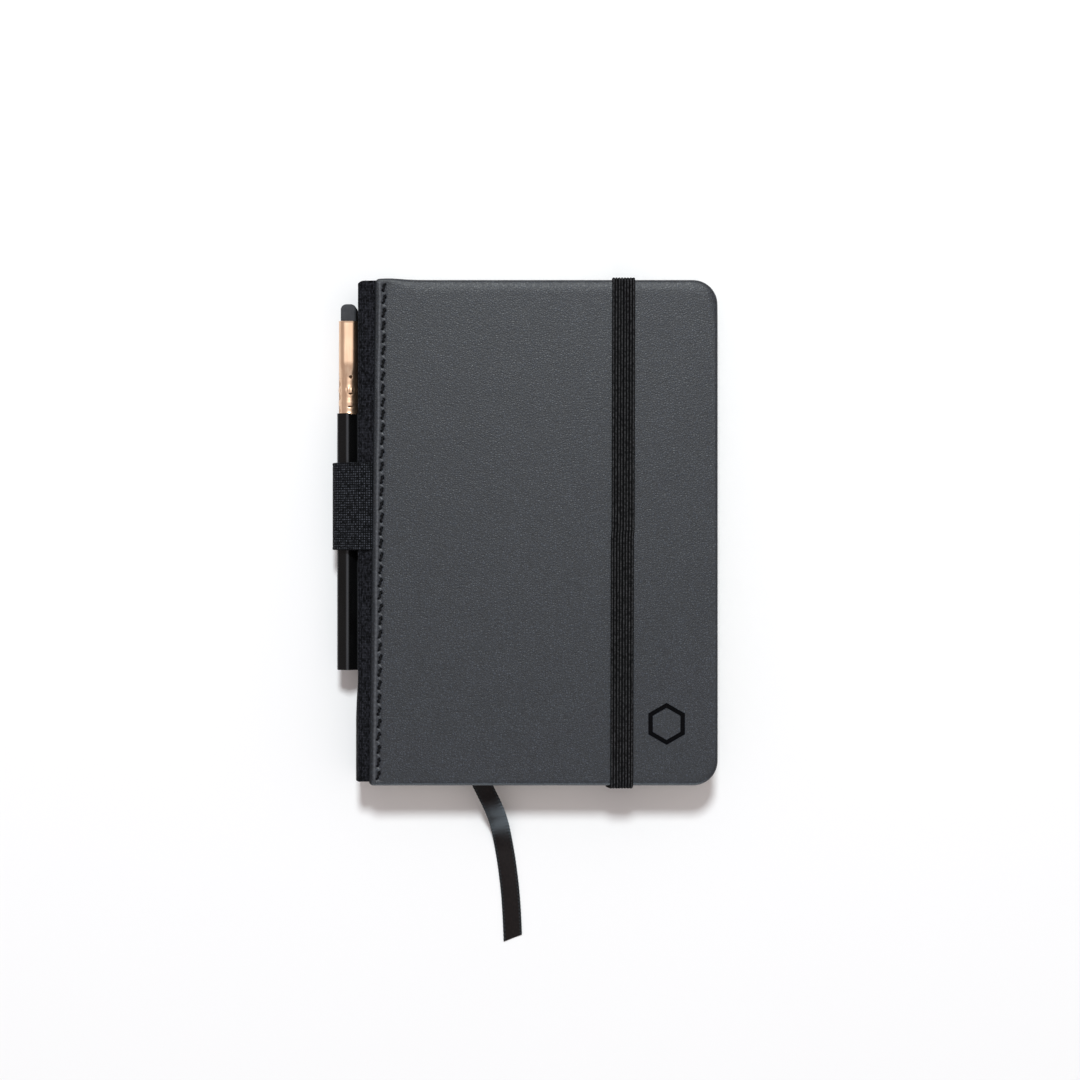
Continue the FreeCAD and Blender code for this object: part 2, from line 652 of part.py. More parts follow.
def draw_loop(sketch):
    """Flat end, bend, slope, turn round the pencil, and the same again mirrored below."""
    top, middle, bend, round_pencil, bend_centre, pencil_centre, normal = loop_centreline()
    end_x = value("dims.loop_end_x")
    slope = math.atan2(normal.y, normal.x)
    low_centre = Vector(bend_centre.x, 2 * middle - bend_centre.y, 0)
    low_normal = Vector(normal.x, -normal.y, 0)
    axis = Vector(0, 0, 1)
    geometry = [
        Part.LineSegment(Vector(end_x, top, 0), Vector(bend_centre.x, top, 0)),
        Part.ArcOfCircle(Part.Circle(bend_centre, axis, bend), math.pi / 2, slope),
        Part.LineSegment(bend_centre + normal * bend, pencil_centre + normal * round_pencil),
        Part.ArcOfCircle(Part.Circle(pencil_centre, axis, round_pencil), slope, 2 * math.pi - slope),
        Part.LineSegment(pencil_centre + low_normal * round_pencil, low_centre + low_normal * bend),
        Part.ArcOfCircle(Part.Circle(low_centre, axis, bend), 2 * math.pi - slope, 1.5 * math.pi),
        Part.LineSegment(Vector(bend_centre.x, 2 * middle - top, 0), Vector(end_x, 2 * middle - top, 0)),
    ]
    for item in geometry:
        sketch.addGeometry(item, False)
    for index in range(6):
        sketch.addConstraint(Sketcher.Constraint("Tangent", index, 2, index + 1, 1))
    sketch.addConstraint(Sketcher.Constraint("Horizontal", 0))
    sketch.addConstraint(Sketcher.Constraint("Horizontal", 6))
    half = "dims.loop_thick / 2"
    bend_radius = f"dims.loop_bend + {half}"
    high = f"{Z_FRONT_JOINT} + dims.loop_gap + {half} - ({bend_radius})"
    bind_point(sketch, 1, 3, "dims.loop_bend_x", high)
    bind_point(sketch, 3, 3, "dims.pencil_x", Z_MIDDLE)
    bind_point(sketch, 5, 3, "dims.loop_bend_x", f"2 * ({Z_MIDDLE}) - ({high})")
    bind_radius(sketch, 1, bend_radius)
    bind_radius(sketch, 3, f"dims.loop_radius + {half}")
    bind_radius(sketch, 5, bend_radius)
    for line, point in ((0, 1), (6, 2)):
        rule = Sketcher.Constraint("DistanceX", -1, 1, line, point, end_x)
        number = sketch.addConstraint(rule)
        sketch.setExpression(f"Constraints[{number}]", "dims.loop_end_x")


def make_loop():
    """Webbing of constant thickness swept along the loop's centreline."""
    body = new_body("pencil_loop")
    path = new_sketch(body, "XZ_Plane", "0")
    draw_loop(path)
    section = new_sketch(body, "YZ_Plane", "dims.loop_end_x")
    low = f"{Z_FRONT_JOINT} + dims.loop_gap"
    draw_polygon(section, rectangle("dims.loop_tail", low, "dims.loop_head", f"{low} + dims.loop_thick"))
    pipe = body.newObject("PartDesign::AdditivePipe", "loop_pipe")
    pipe.Profile = section
    pipe.Spine = (path, [])
    doc.recompute()


# Pencil


def on_pencil_axis(body):
    place_body(body, "dims.pencil_x", Z_MIDDLE)


def make_casing(name, side):
    """One of the two cedar slats: half a hexagon with a corner up, and half a tenon."""
    body = new_body(name)
    on_pencil_axis(body)
    apothem = "dims.pencil_flats / 2"
    corner = f"{apothem} / cos(30 deg)"
    half_hexagon = [
        ("0", f"-{corner}"),
        ("0", corner),
        (f"{side} * {apothem}", f"{corner} / 2"),
        (f"{side} * {apothem}", f"-{corner} / 2"),
    ]
    add_pad(body, "XZ_Plane", "-dims.ferrule_start", "dims.ferrule_start - dims.pencil_end",
            lambda sketch: draw_polygon(sketch, half_hexagon))
    add_pad(body, "XZ_Plane", "-dims.tenon_end", "dims.tenon_end - dims.ferrule_start",
            lambda sketch: draw_half_disc(sketch, side, "dims.tenon_radius"))
    add_pocket(body, "XZ_Plane", "-dims.tenon_end", "dims.tenon_end - dims.pencil_end",
               lambda sketch: draw_circle(sketch, "0", "0", "dims.core_radius"))


def draw_half_disc(sketch, side, radius):
    """Half a disc on one side of the sketch's vertical axis."""
    size = value(radius)
    start = -math.pi / 2 if side > 0 else math.pi / 2
    disc = Part.Circle(Vector(0, 0, 0), Vector(0, 0, 1), size)
    sketch.addGeometry(Part.ArcOfCircle(disc, start, start + math.pi), False)
    sketch.addGeometry(Part.LineSegment(Vector(0, side * size, 0), Vector(0, -side * size, 0)), False)
    sketch.addConstraint(Sketcher.Constraint("Coincident", 0, 2, 1, 1))
    sketch.addConstraint(Sketcher.Constraint("Coincident", 1, 2, 0, 1))
    sketch.addConstraint(Sketcher.Constraint("Coincident", 0, 3, -1, 1))
    sketch.addConstraint(Sketcher.Constraint("Vertical", 1))
    bind_radius(sketch, 0, radius)


def make_core():
    body = new_body("graphite_core")
    on_pencil_axis(body)
    add_pad(body, "XZ_Plane", "-dims.tenon_end", "dims.tenon_end - dims.pencil_end",
            lambda sketch: draw_circle(sketch, "0", "0", "dims.core_radius"))


def add_loft(body, kind, shrink):
    """A tube that is round at the pencil and flat at the eraser, made smaller by a wall."""
    near_round = f"dims.ferrule_round - {CORNER_SHORT}"
    round_part = ("dims.ferrule_round", "dims.ferrule_round", near_round)
    flat_part = ("dims.ferrule_half_x", "dims.ferrule_half_z", "dims.ferrule_corner")
    stations = [
        ("dims.ferrule_start", round_part),
        ("dims.ferrule_neck", round_part),
        ("dims.ferrule_flat", flat_part),
        ("dims.ferrule_end", flat_part),
    ]
    sketches = []
    for y, outline in stations:
        sketch = new_sketch(body, "XZ_Plane", f"-{y}")
        draw_rounded(sketch, *(f"({size} - {shrink})" for size in outline))
        sketches.append(sketch)
    loft = body.newObject(kind, body.Name + "_loft")
    loft.Profile = sketches[0]
    loft.Sections = sketches[1:]
    loft.Ruled = True
    doc.recompute()
    return loft


def make_ferrule():
    body = new_body("ferrule")
    on_pencil_axis(body)
    add_loft(body, "PartDesign::AdditiveLoft", "0")
    before = body.Shape.Volume
    add_loft(body, "PartDesign::SubtractiveLoft", "dims.ferrule_wall")
    if body.Shape.Volume >= before:
        raise RuntimeError("ferrule: its inside is not cut")


def make_eraser():
    """A flat block eraser and the sheet-metal clamp that holds it in the ferrule."""
    outer = "(dims.ferrule_half_x - dims.ferrule_wall - dims.clamp_gap)"
    inner = f"({outer} - dims.clamp_thick)"
    floor_y = "dims.clamp_start + dims.clamp_thick"

    body = new_body("eraser")
    on_pencil_axis(body)
    block = rectangle(f"-{inner}", "-dims.eraser_half_z", inner, "dims.eraser_half_z")
    pad = add_pad(body, "XZ_Plane", "-dims.eraser_end", f"dims.eraser_end - ({floor_y})",
                  lambda sketch: draw_polygon(sketch, block))
    sides = add_fillet(body, pad, "dims.eraser_side_round", lambda edge: is_straight(edge, Vector(0, 1, 0)))
    top = value("dims.eraser_end")
    add_fillet(body, sides, "dims.eraser_round",
               lambda edge: all(abs(vertex.Y - top) < NEAR for vertex in edge.Vertexes))

    body = new_body("eraser_clamp")
    on_pencil_axis(body)
    channel = [
        (f"-{outer}", "dims.clamp_end"),
        (f"-{outer}", "dims.clamp_start"),
        (outer, "dims.clamp_start"),
        (outer, "dims.clamp_end"),
        (inner, "dims.clamp_end"),
        (inner, floor_y),
        (f"-{inner}", floor_y),
        (f"-{inner}", "dims.clamp_end"),
    ]
    add_pad(body, "XY_Plane", "-dims.clamp_half_z", "2 * dims.clamp_half_z",
            lambda sketch: draw_polygon(sketch, channel))


# Bookmark ribbon


def make_ribbon_inside():
    """The ribbon between the pages, and its end glued to the spine under the card."""
    body = new_body("ribbon_inner")
    half = "dims.ribbon_wide / 2"
    strip = [
        (f"dims.ribbon_tail_x - {half}", "-dims.page_half"),
        (f"dims.ribbon_tail_x + {half}", "-dims.page_half"),
        (f"dims.ribbon_head_x + {half}", "dims.page_half"),
        (f"dims.ribbon_head_x - {half}", "dims.page_half"),
    ]
    level = f"{Z_RIBBON} + (dims.ribbon_gap - dims.ribbon_thick) / 2"
    add_pad(body, "XY_Plane", level, "dims.ribbon_thick", lambda sketch: draw_polygon(sketch, strip))

    body = new_body("ribbon_anchor")
    outside = f"{X_LINING} - dims.ribbon_thick"
    head_in = "dims.page_half"
    head_out = f"{head_in} + dims.ribbon_thick"
    bent = [
        (outside, "dims.anchor_y"),
        (X_LINING, "dims.anchor_y"),
        (X_LINING, head_in),
        (f"dims.ribbon_head_x + {half}", head_in),
        (f"dims.ribbon_head_x + {half}", head_out),
        (outside, head_out),
    ]
    add_pad(body, "XY_Plane", Z_PAGES, f"{level} + dims.ribbon_thick - ({Z_PAGES})",
            lambda sketch: draw_polygon(sketch, bent))


def rounded_path(points):
    """Straight runs joined by tangent arcs, each as large as its two runs allow."""
    edges = []
    radii = []
    start = points[0]
    for before, corner, after in zip(points, points[1:], points[2:]):
        back = before - corner
        ahead = after - corner
        turn = math.pi - back.getAngle(ahead)
        reach = ARC_SHARE * min(back.Length, ahead.Length)
        radii.append(reach / math.tan(turn / 2))
        back.normalize()
        ahead.normalize()
        arc_start = corner + back * reach
        arc_end = corner + ahead * reach
        bisector = (back + ahead).normalize()
        to_centre = radii[-1] / math.cos(turn / 2)
        arc_middle = corner + bisector * (to_centre - radii[-1])
        edges.append(Part.LineSegment(start, arc_start).toShape())
        edges.append(Part.Arc(arc_start, arc_middle, arc_end).toShape())
        start = arc_end
    edges.append(Part.LineSegment(start, points[-1]).toShape())
    return Part.Wire(edges), radii


def make_ribbon_tail():
    """The free end of the ribbon: a flat strip along its route, trimmed at the pages."""
    points = [Vector(*point) for point in RIBBON_ROUTE]
    path, radii = rounded_path(points)
    wide = value("dims.ribbon_wide")
    thick = value("dims.ribbon_thick")
    heading = (points[1] - points[0]).normalize()
    across = heading.cross(Vector(0, 0, 1)) * (wide / 2)
    up = Vector(0, 0, thick / 2)
    start = points[0]
    corners = [start - across - up, start + across - up, start + across + up, start - across + up]
    section = Part.makePolygon(corners + corners[:1])
    strip = path.makePipeShell([section], True, False)
    area = wide * thick
    print("ribbon radii:", [round(radius, 1) for radius in radii])
    print("ribbon length:", round(path.Length, 2), "volume / (section * length):",
          round(strip.Volume / (area * path.Length), 4))
    page_edge = -value("dims.page_half")
    pages = Part.makeBox(2 * wide, 2 * wide, 2 * wide, Vector(start.x - wide, page_edge, start.z - wide))
    feature = doc.addObject("Part::Feature", "ribbon_tail")
    feature.Label = "ribbon_tail"
    feature.Shape = strip.cut(pages).Solids[0]
    feature.Placement = FreeCAD.Placement()
    nodes.append(feature)


def main():
    make_board("back_board", Z_BOARD, slots=True)
    make_board("front_board", Z_FRONT_BOARD)
    make_leather("back_leather", front=False)
    make_leather("front_leather", front=True)
    make_stitching("back_stitching", front=False)
    make_stitching("front_stitching", front=True)
    make_paper()
    make_spine()
    make_strap()
    make_strap_end("elastic_end_head", "")
    make_strap_end("elastic_end_tail", "-")
    make_loop()
    make_casing("casing_left", -1)
    make_casing("casing_right", 1)
    make_core()
    make_ferrule()
    make_eraser()
    make_ribbon_inside()
    make_ribbon_tail()
    doc.recompute()

    for item in doc.Objects:
        if "Invalid" in item.State or "Error" in item.State:
            raise RuntimeError(f"{item.Label} failed: {item.State}")
    for node in nodes:
        if node.Shape.isNull() or not node.Shape.isValid() or not node.Shape.Solids:
            raise RuntimeError(f"{node.Label} has no valid solid")

    os.makedirs("parts", exist_ok=True)
    for node in nodes:
        node.Shape.exportStep(f"parts/{node.Label}.step")
    print(len(nodes), "nodes, total thickness", round(value(Z_TOP), 3))


main()
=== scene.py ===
"""Looks of a pocket notebook: hard covers in imitation leather, a cloth spine, an elastic band,
a bookmark ribbon, and a pencil with an eraser in a woven loop on the spine.

The book lies on its back cover with its head towards +Y and its fore edge towards +X.
Lengths are in metres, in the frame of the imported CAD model.
"""

import json
import random
from math import acos, atan2, ceil, copysign, cos, degrees, dist, exp, hypot, pi, radians, sin, sqrt, tan

import bmesh
import bpy
import numpy as np
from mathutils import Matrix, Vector
from mathutils.geometry import delaunay_2d_cdt


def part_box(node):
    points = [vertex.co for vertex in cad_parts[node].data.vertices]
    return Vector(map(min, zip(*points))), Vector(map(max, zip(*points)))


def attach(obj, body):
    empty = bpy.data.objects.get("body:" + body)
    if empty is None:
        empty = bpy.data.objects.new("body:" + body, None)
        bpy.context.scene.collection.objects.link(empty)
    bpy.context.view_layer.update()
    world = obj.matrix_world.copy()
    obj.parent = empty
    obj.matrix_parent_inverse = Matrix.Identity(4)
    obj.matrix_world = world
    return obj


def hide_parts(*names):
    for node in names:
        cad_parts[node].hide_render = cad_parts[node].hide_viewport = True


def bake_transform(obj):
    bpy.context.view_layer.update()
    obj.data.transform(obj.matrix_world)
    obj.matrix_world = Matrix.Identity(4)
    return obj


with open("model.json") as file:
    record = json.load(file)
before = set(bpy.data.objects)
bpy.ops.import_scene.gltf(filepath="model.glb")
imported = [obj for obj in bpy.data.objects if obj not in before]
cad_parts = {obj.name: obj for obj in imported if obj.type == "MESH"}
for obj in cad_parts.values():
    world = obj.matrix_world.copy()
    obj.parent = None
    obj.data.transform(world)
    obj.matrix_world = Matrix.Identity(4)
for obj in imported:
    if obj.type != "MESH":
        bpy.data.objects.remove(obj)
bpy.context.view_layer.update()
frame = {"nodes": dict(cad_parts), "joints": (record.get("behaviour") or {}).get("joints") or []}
scene = bpy.context.scene

MM = 0.001
ACROSS_X = Vector((1, 0, 0))
ACROSS_Y = Vector((0, 1, 0))
UP = Vector((0, 0, 1))

hinge = next(j for j in frame["joints"] if j["name"] == "front_cover_opening")
HINGE_X, HINGE_Z = hinge["pos_m"][0], hinge["pos_m"][2]
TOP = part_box("front_leather")[1].z
MIDDLE = TOP / 2


# Small helpers


def smooth(t):
    """0 below 0, 1 above 1, and an even slope between."""
    t = np.clip(t, 0.0, 1.0)
    return t * t * (3 - 2 * t)


def lerp(a, b, t):
    return a + (b - a) * t


def ramp(value, start, run):
    """0 before start, 1 past start + run, and an even slope between."""
    return float(smooth((value - start) / run))


def hill(away, width):
    """1 where away is 0, falling off over about width."""
    return np.exp(-(away / width) ** 2)


def polar(radius, degrees):
    angle = radians(degrees)
    return radius * cos(angle), radius * sin(angle)


def arc(centre, radius, start, stop, count):
    """Points of an arc in a plane, with its angles in degrees."""
    spokes = [polar(radius, lerp(start, stop, k / count)) for k in range(count + 1)]
    return [(centre[0] + x, centre[1] + y) for x, y in spokes]


def rounded_line(corners, count=6):
    """Points of a line in a plane, each corner given as (a, b, radius)."""
    points = [corners[0][:2]]
    for before, corner, after in zip(corners, corners[1:], corners[2:]):
        here = Vector(corner[:2])
        back = (Vector(before[:2]) - here).normalized()
        ahead = (Vector(after[:2]) - here).normalized()
        half = back.angle(ahead) / 2
        reach = corner[2] / tan(half)
        centre = here + (back + ahead).normalized() * corner[2] / sin(half)
        first, last = here + back * reach - centre, here + ahead * reach - centre
        turn = first.angle(last)
        for k in range(count + 1):
            share = k / count
            spoke = (first * sin((1 - share) * turn) + last * sin(share * turn)) / sin(turn)
            points.append(tuple(centre + spoke))
    points.append(corners[-1][:2])
    return points


def divide(points, step):
    """The same line with its long runs cut into pieces no longer than step."""
    line = [points[0]]
    for a, b in zip(points, points[1:]):
        pieces = max(1, ceil(dist(a, b) / step))
        for k in range(1, pieces + 1):
            line.append(tuple(lerp(p, q, k / pieces) for p, q in zip(a, b)))
    return line


def plane_frames(points, across=ACROSS_Y, place=None):
    """Frames (origin, across, up) along a line in a plane; place turns a point of the plane into space.

    Without place the points are (x, z) and lie in the plane through the book's middle."""
    spots = [place(*p) if place else Vector((p[0], 0, p[1])) for p in points]
    frames = []
    for k, spot in enumerate(spots):
        along = spots[min(k + 1, len(spots) - 1)] - spots[max(k - 1, 0)]
        frames.append((spot, across, along.cross(across).normalized()))
    return frames


def ring_faces(total, count, closed=False):
    """Faces between neighbouring rings of count points; closed joins the last ring to the first."""
    faces = []
    for i in range(total if closed else total - 1):
        a, b = i * count, (i + 1) % total * count
        for j in range(count):
            k = (j + 1) % count
            faces.append((a + j, a + k, b + k, b + j))
    return faces


def sweep(frames, section):
    """A closed skin of sections (across, up) set on the frames, with cloth coordinates in metres."""
    points, cloth = [], []
    travelled = 0.0
    before = frames[0][0]
    for k, (origin, across, up) in enumerate(frames):
        travelled += (origin - before).length
        before = origin
        ring = section(k) if callable(section) else section
        for a, u in ring:
            points.append(origin + across * a + up * u)
            cloth.append((travelled, a))
    count = len(points) // len(frames)
    faces = ring_faces(len(frames), count)
    faces.append(tuple(reversed(range(count))))
    faces.append(tuple(range(len(points) - count, len(points))))
    return points, faces, cloth


def both_faces(top):
    """A closed section from its upper half."""
    return top + [(a, -u) for a, u in reversed(top)]


def join(parts):
    """Several skins as one."""
    points, faces, cloth = [], [], []
    for part_points, part_faces, part_cloth in parts:
        start = len(points)
        points += part_points
        cloth += part_cloth
        faces += [tuple(start + k for k in face) for face in part_faces]
    return points, faces, cloth


def put(name, data):
    """A new object in the scene."""
    thing = bpy.data.objects.new(name, data)
    scene.collection.objects.link(thing)
    return thing


def new_piece(name, skin, paints, body=None, stands_for=(), sharp=40, second=()):
    """A mesh piece. The faces listed in second take the second paint."""
    points, faces, cloth = skin
    mesh = bpy.data.meshes.new(name)
    mesh.from_pydata([tuple(p) for p in points], [], faces)
    if cloth:
        layer = mesh.uv_layers.new(name="cloth")
        for loop in mesh.loops:
            layer.data[loop.index].uv = cloth[loop.vertex_index]
    for paint in paints:
        mesh.materials.append(paint)
    for index in second:
        mesh.polygons[index].material_index = 1
    work = bmesh.new()
    work.from_mesh(mesh)
    bmesh.ops.remove_doubles(work, verts=work.verts, dist=1e-7)
    bmesh.ops.recalc_face_normals(work, faces=work.faces)
    work.to_mesh(mesh)
    work.free()
    mesh.shade_smooth()
    mesh.set_sharp_from_angle(angle=radians(sharp))
    piece = put(name, mesh)
    if body:
        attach(piece, body)
    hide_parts(*stands_for)
    return piece


# Materials


CREASE_STEEP = 3.0


class Paint:
    """A Principled material and the procedural nodes that feed it."""

    def __init__(self, name, **sockets):
        self.material = bpy.data.materials.new(name)
        self.material.use_nodes = True
        self.nodes = self.material.node_tree.nodes
        self.shader = self.nodes["Principled BSDF"]
        for label, value in sockets.items():
            self.shader.inputs[label.replace("_", " ")].default_value = value
        spots = self.nodes.new("ShaderNodeTexCoord")
        self.place = spots.outputs["Object"]
        self.cloth = spots.outputs["UV"]

    def add(self, kind, inputs, output=0, **settings):
        node = self.nodes.new(kind)
        for label, value in settings.items():
            setattr(node, label, value)
        for label, value in inputs.items():
            if isinstance(value, bpy.types.NodeSocket):
                self.material.node_tree.links.new(value, node.inputs[label])
            else:
                node.inputs[label].default_value = value
        return node.outputs[output]

    def math(self, operation, a, b=0.0):
        return self.add("ShaderNodeMath", {0: a, 1: b}, operation=operation)

    def times(self, a, b):
        return self.math("MULTIPLY", a, b)

    def mix(self, a, b, share):
        """Two textures added, the first with the given share."""
        return self.math("ADD", self.times(a, share), self.times(b, 1 - share))

    def noise(self, size, detail=3.0, stretch=(1, 1, 1), where=None):
        """Cloudy texture whose features are about size metres; stretch makes them longer on an axis."""
        scale = tuple(1 / (size * s) for s in stretch)
        spot = self.add("ShaderNodeMapping", {"Vector": where or self.place, "Scale": scale})
        return self.add("ShaderNodeTexNoise", {"Vector": spot, "Scale": 1.0, "Detail": detail})

    def grains(self, size):
        """Rounded cells about size metres across, with creases between them."""
        spot = self.add("ShaderNodeMapping", {"Vector": self.place, "Scale": (1 / size,) * 3})
        crease = self.add("ShaderNodeTexVoronoi", {"Vector": spot, "Scale": 1.0}, feature="DISTANCE_TO_EDGE")
        return self.math("MINIMUM", self.times(crease, CREASE_STEEP), 1.0)

    def parts(self, where):
        """The coordinates of a spot, one by one."""
        apart = self.nodes.new("ShaderNodeSeparateXYZ")
        self.material.node_tree.links.new(where, apart.inputs[0])
        return apart.outputs

    def threads(self, pitch_along, pitch_across):
        """A bump at every crossing of a plain weave, on cloth coordinates."""
        return self.times(self.ticks(pitch_along), self.ticks(pitch_across, 1))

    def ticks(self, pitch, output=0):
        """Even ridges on one of the cloth coordinates."""
        turns = self.times(self.parts(self.cloth)[output], pi / pitch)
        return self.math("ABSOLUTE", self.math("SINE", turns))

    def blend(self, factor, low, high):
        """Low at factor 0 and high at 1; each is a colour or a socket."""
        low, high = ((*end, 1) if isinstance(end, tuple) else end for end in (low, high))
        return self.add("ShaderNodeMix", {0: factor, 6: low, 7: high}, 2, data_type="RGBA")

    def spread(self, value, low=0.0, high=1.0, start=0.3, stop=0.7):
        """A texture's middle values spread over low to high."""
        spread = {"Value": value, "From Min": start, "From Max": stop, "To Min": low, "To Max": high}
        return self.add("ShaderNodeMapRange", spread)

    def feed(self, label, value):
        self.material.node_tree.links.new(value, self.shader.inputs[label])

    def colour(self, value):
        self.feed("Base Color", value)

    def roughness(self, value):
        self.feed("Roughness", value)

    def relief(self, height, depth, strength=1.0):
        """Surface relief of the given depth in metres."""
        bump = {"Height": height, "Distance": depth, "Strength": strength}
        self.feed("Normal", self.add("ShaderNodeBump", bump))


def leather_paint():
    """Pressed grain; the cloth coordinates carry how much painted highlight and how much painted shade each
    point takes.
    """
    paint = Paint("imitation_leather")
    grain = paint.grains(0.60 * MM)
    fine = paint.noise(0.50 * MM, 4.0)
    mottle = paint.mix(paint.noise(1.3 * MM, 3.0), paint.noise(9 * MM, 3.0), 0.5)
    tone = paint.spread(mottle, start=0.40, stop=0.60)
    patch = paint.blend(tone, (0.0128, 0.0192, 0.0315), (0.0275, 0.0352, 0.0500))
    speck = paint.times(paint.spread(fine, start=0.36, stop=0.62), grain)
    plain = paint.blend(speck, (0.0028, 0.0044, 0.0074), patch)
    painted_highlight, shaded, _ = paint.parts(paint.cloth)
    # painted highlight: the colour is lightened towards pale grey on the stitch row's ridge and bridges
    worn = paint.blend(painted_highlight, plain, (0.074, 0.079, 0.090))
    # painted shade: the colour falls to near black in the stitch pits and holes, by the free edge and in the
    # stamped mark
    paint.colour(paint.blend(shaded, worn, (0.0012, 0.0012, 0.0015)))
    paint.roughness(paint.spread(fine, 0.40, 0.56))
    paint.feed("Specular IOR Level", paint.spread(shaded, 0.50, 0.03, 0.0, 0.8))
    height = paint.math("ADD", paint.times(grain, 0.5), fine)
    paint.relief(height, 0.07 * MM)
    return paint.material


def grained_paint(name, dark, light, grain, depth, cloud=None, rough=None, **sockets):
    """Two tones in a fine grain of (size, detail, stretch), with a relief in it of the given depth.

    Cloud is (size, grain's share) of a coarse pattern mixed in; rough is the range of roughness."""
    paint = Paint(name, **sockets)
    fine = paint.noise(*grain)
    tone = paint.mix(fine, paint.noise(cloud[0], 2.0), cloud[1]) if cloud else fine
    paint.colour(paint.blend(paint.spread(tone), dark, light))
    if rough:
        paint.roughness(paint.spread(tone, *rough))
    paint.relief(fine, depth)
    return paint.material


def paper_paint(name, light, dark, fibre_size):
    return grained_paint(name, dark, light, (fibre_size, 5.0, (2.5, 1, 1)), 0.015 * MM, (14 * MM, 0.6),
                         Roughness=0.82, Sheen_Weight=0.1)


def thread_paint(name, dark, light, roughness, shine):
    return grained_paint(name, dark, light, (0.16 * MM, 2.0, (1, 3, 1)), 0.04 * MM,
                         Roughness=roughness, Specular_IOR_Level=shine)


def metal_paint(name, dark, light, smallest, largest):
    """Drawn sheet: the grain runs along the pencil, with a cloudy tarnish."""
    return grained_paint(name, dark, light, (0.35 * MM, 3.0, (1, 30, 1)), 0.006 * MM, (3.5 * MM, 0.6),
                         (smallest, largest), Metallic=1.0)


def spine_cloth_paint():
    paint = Paint("spine_cloth", Roughness=0.85, Specular_IOR_Level=0.09)
    weave = paint.threads(0.42 * MM, 0.46 * MM)
    wander = paint.spread(paint.noise(0.60 * MM, 3.0, (0.8, 1.4, 1)), start=0.38, stop=0.66)
    tone = paint.times(weave, wander)
    paint.colour(paint.blend(tone, (0.0006, 0.0007, 0.0012), (0.0420, 0.0440, 0.0560)))
    paint.relief(weave, 0.10 * MM)
    return paint.material


def gauze_paint():
    paint = Paint("gauze", Roughness=0.9)
    weave = paint.grains(0.9 * MM)
    paint.colour(paint.blend(weave, (0.55, 0.52, 0.45), (0.80, 0.78, 0.70)))
    paint.relief(weave, 0.08 * MM)
    return paint.material


def elastic_paint():
    """Lengthwise ribs with painted shade darkening the valleys, more in every second one, and flecks where
    the cross threads cover the rubber.
    """
    paint = Paint("elastic", Roughness=0.80, Specular_IOR_Level=0.08)
    # painted shade: the colour falls to near black in the valleys between ribs, and more in every second
    # valley
    rib_shade = paint.math("POWER", paint.ticks(BAND_PITCH, 1), 3.2)
    pair = paint.math("POWER", paint.ticks(2 * BAND_PITCH, 1), 0.7)
    picks = paint.spread(paint.ticks(0.55 * MM), 0.55, 1.0, 0.0, 1.0)
    flecks = paint.spread(paint.noise(0.40 * MM, 3.0, (1, 1.8, 1)), 0.12, 1.0, 0.38, 0.66)
    covered = paint.times(picks, flecks)
    tone = paint.times(paint.times(rib_shade, pair), covered)
    paint.colour(paint.blend(tone, (0.0006, 0.0006, 0.0008), (0.0700, 0.0710, 0.0750)))
    paint.relief(covered, 0.06 * MM)
    return paint.material


def webbing_paint():
    paint = Paint("loop_webbing", Roughness=0.8, Specular_IOR_Level=0.08)
    weave = paint.math("POWER", paint.threads(0.66 * MM, 0.70 * MM), 2.2)
    wander = paint.spread(paint.noise(0.60 * MM, 3.0), start=0.40, stop=0.62)
    tone = paint.times(weave, wander)
    paint.colour(paint.blend(tone, (0.0010, 0.0012, 0.0018), (0.0920, 0.1000, 0.1220)))
    paint.relief(weave, 0.16 * MM)
    return paint.material


def satin_paint():
    """Smooth satin with a ladder of cross threads along both edges."""
    paint = Paint("satin_ribbon", Roughness=0.33, Specular_IOR_Level=0.15, Anisotropic=0.4)
    yarn = paint.noise(0.20 * MM, 2.0, (6, 1, 1), paint.cloth)
    plain = paint.blend(paint.spread(yarn), (0.0018, 0.0009, 0.0009), (0.0095, 0.0060, 0.0060))
    rung = paint.math("POWER", paint.ticks(TOOTH_PITCH), 2.0)
    ladder = paint.blend(rung, (0.0010, 0.0010, 0.0010), (0.0200, 0.0230, 0.0270))
    aside = paint.math("ABSOLUTE", paint.parts(paint.cloth)[1])
    border = RIBBON_WIDE / 2 - SELVEDGE
    edge = paint.spread(aside, start=border, stop=border + 0.4 * SELVEDGE)
    paint.colour(paint.blend(edge, plain, ladder))
    paint.relief(yarn, 0.03 * MM, 0.8)
    return paint.material


def lacquer_paint():
    """Black lacquer with a painted highlight along the six ridges, which lie farthest from the pencil's
    axis.
    """
    paint = Paint("pencil_lacquer", Specular_IOR_Level=0.20)
    ripple = paint.noise(2.2 * MM, 2.0, (1, 5, 1))
    plain = paint.blend(paint.spread(ripple), (0.0014, 0.0014, 0.0015), (0.0030, 0.0030, 0.0032))
    x, _, z = paint.parts(paint.place)
    aside = paint.math("POWER", paint.math("SUBTRACT", x, PENCIL_X), 2.0)
    above = paint.math("POWER", paint.math("SUBTRACT", z, MIDDLE), 2.0)
    from_axis = paint.math("SQRT", paint.math("ADD", aside, above))
    # painted highlight: the colour is lighter where the casing lies farthest from the axis, along its six
    # ridges
    ridge = paint.spread(from_axis, start=3.43 * MM, stop=3.56 * MM)
    paint.colour(paint.blend(ridge, plain, (0.040, 0.041, 0.045)))
    paint.roughness(paint.spread(paint.noise(0.6 * MM, 3.0), 0.24, 0.32))
    paint.relief(ripple, 0.02 * MM)
    return paint.material


# Camera, floor and light

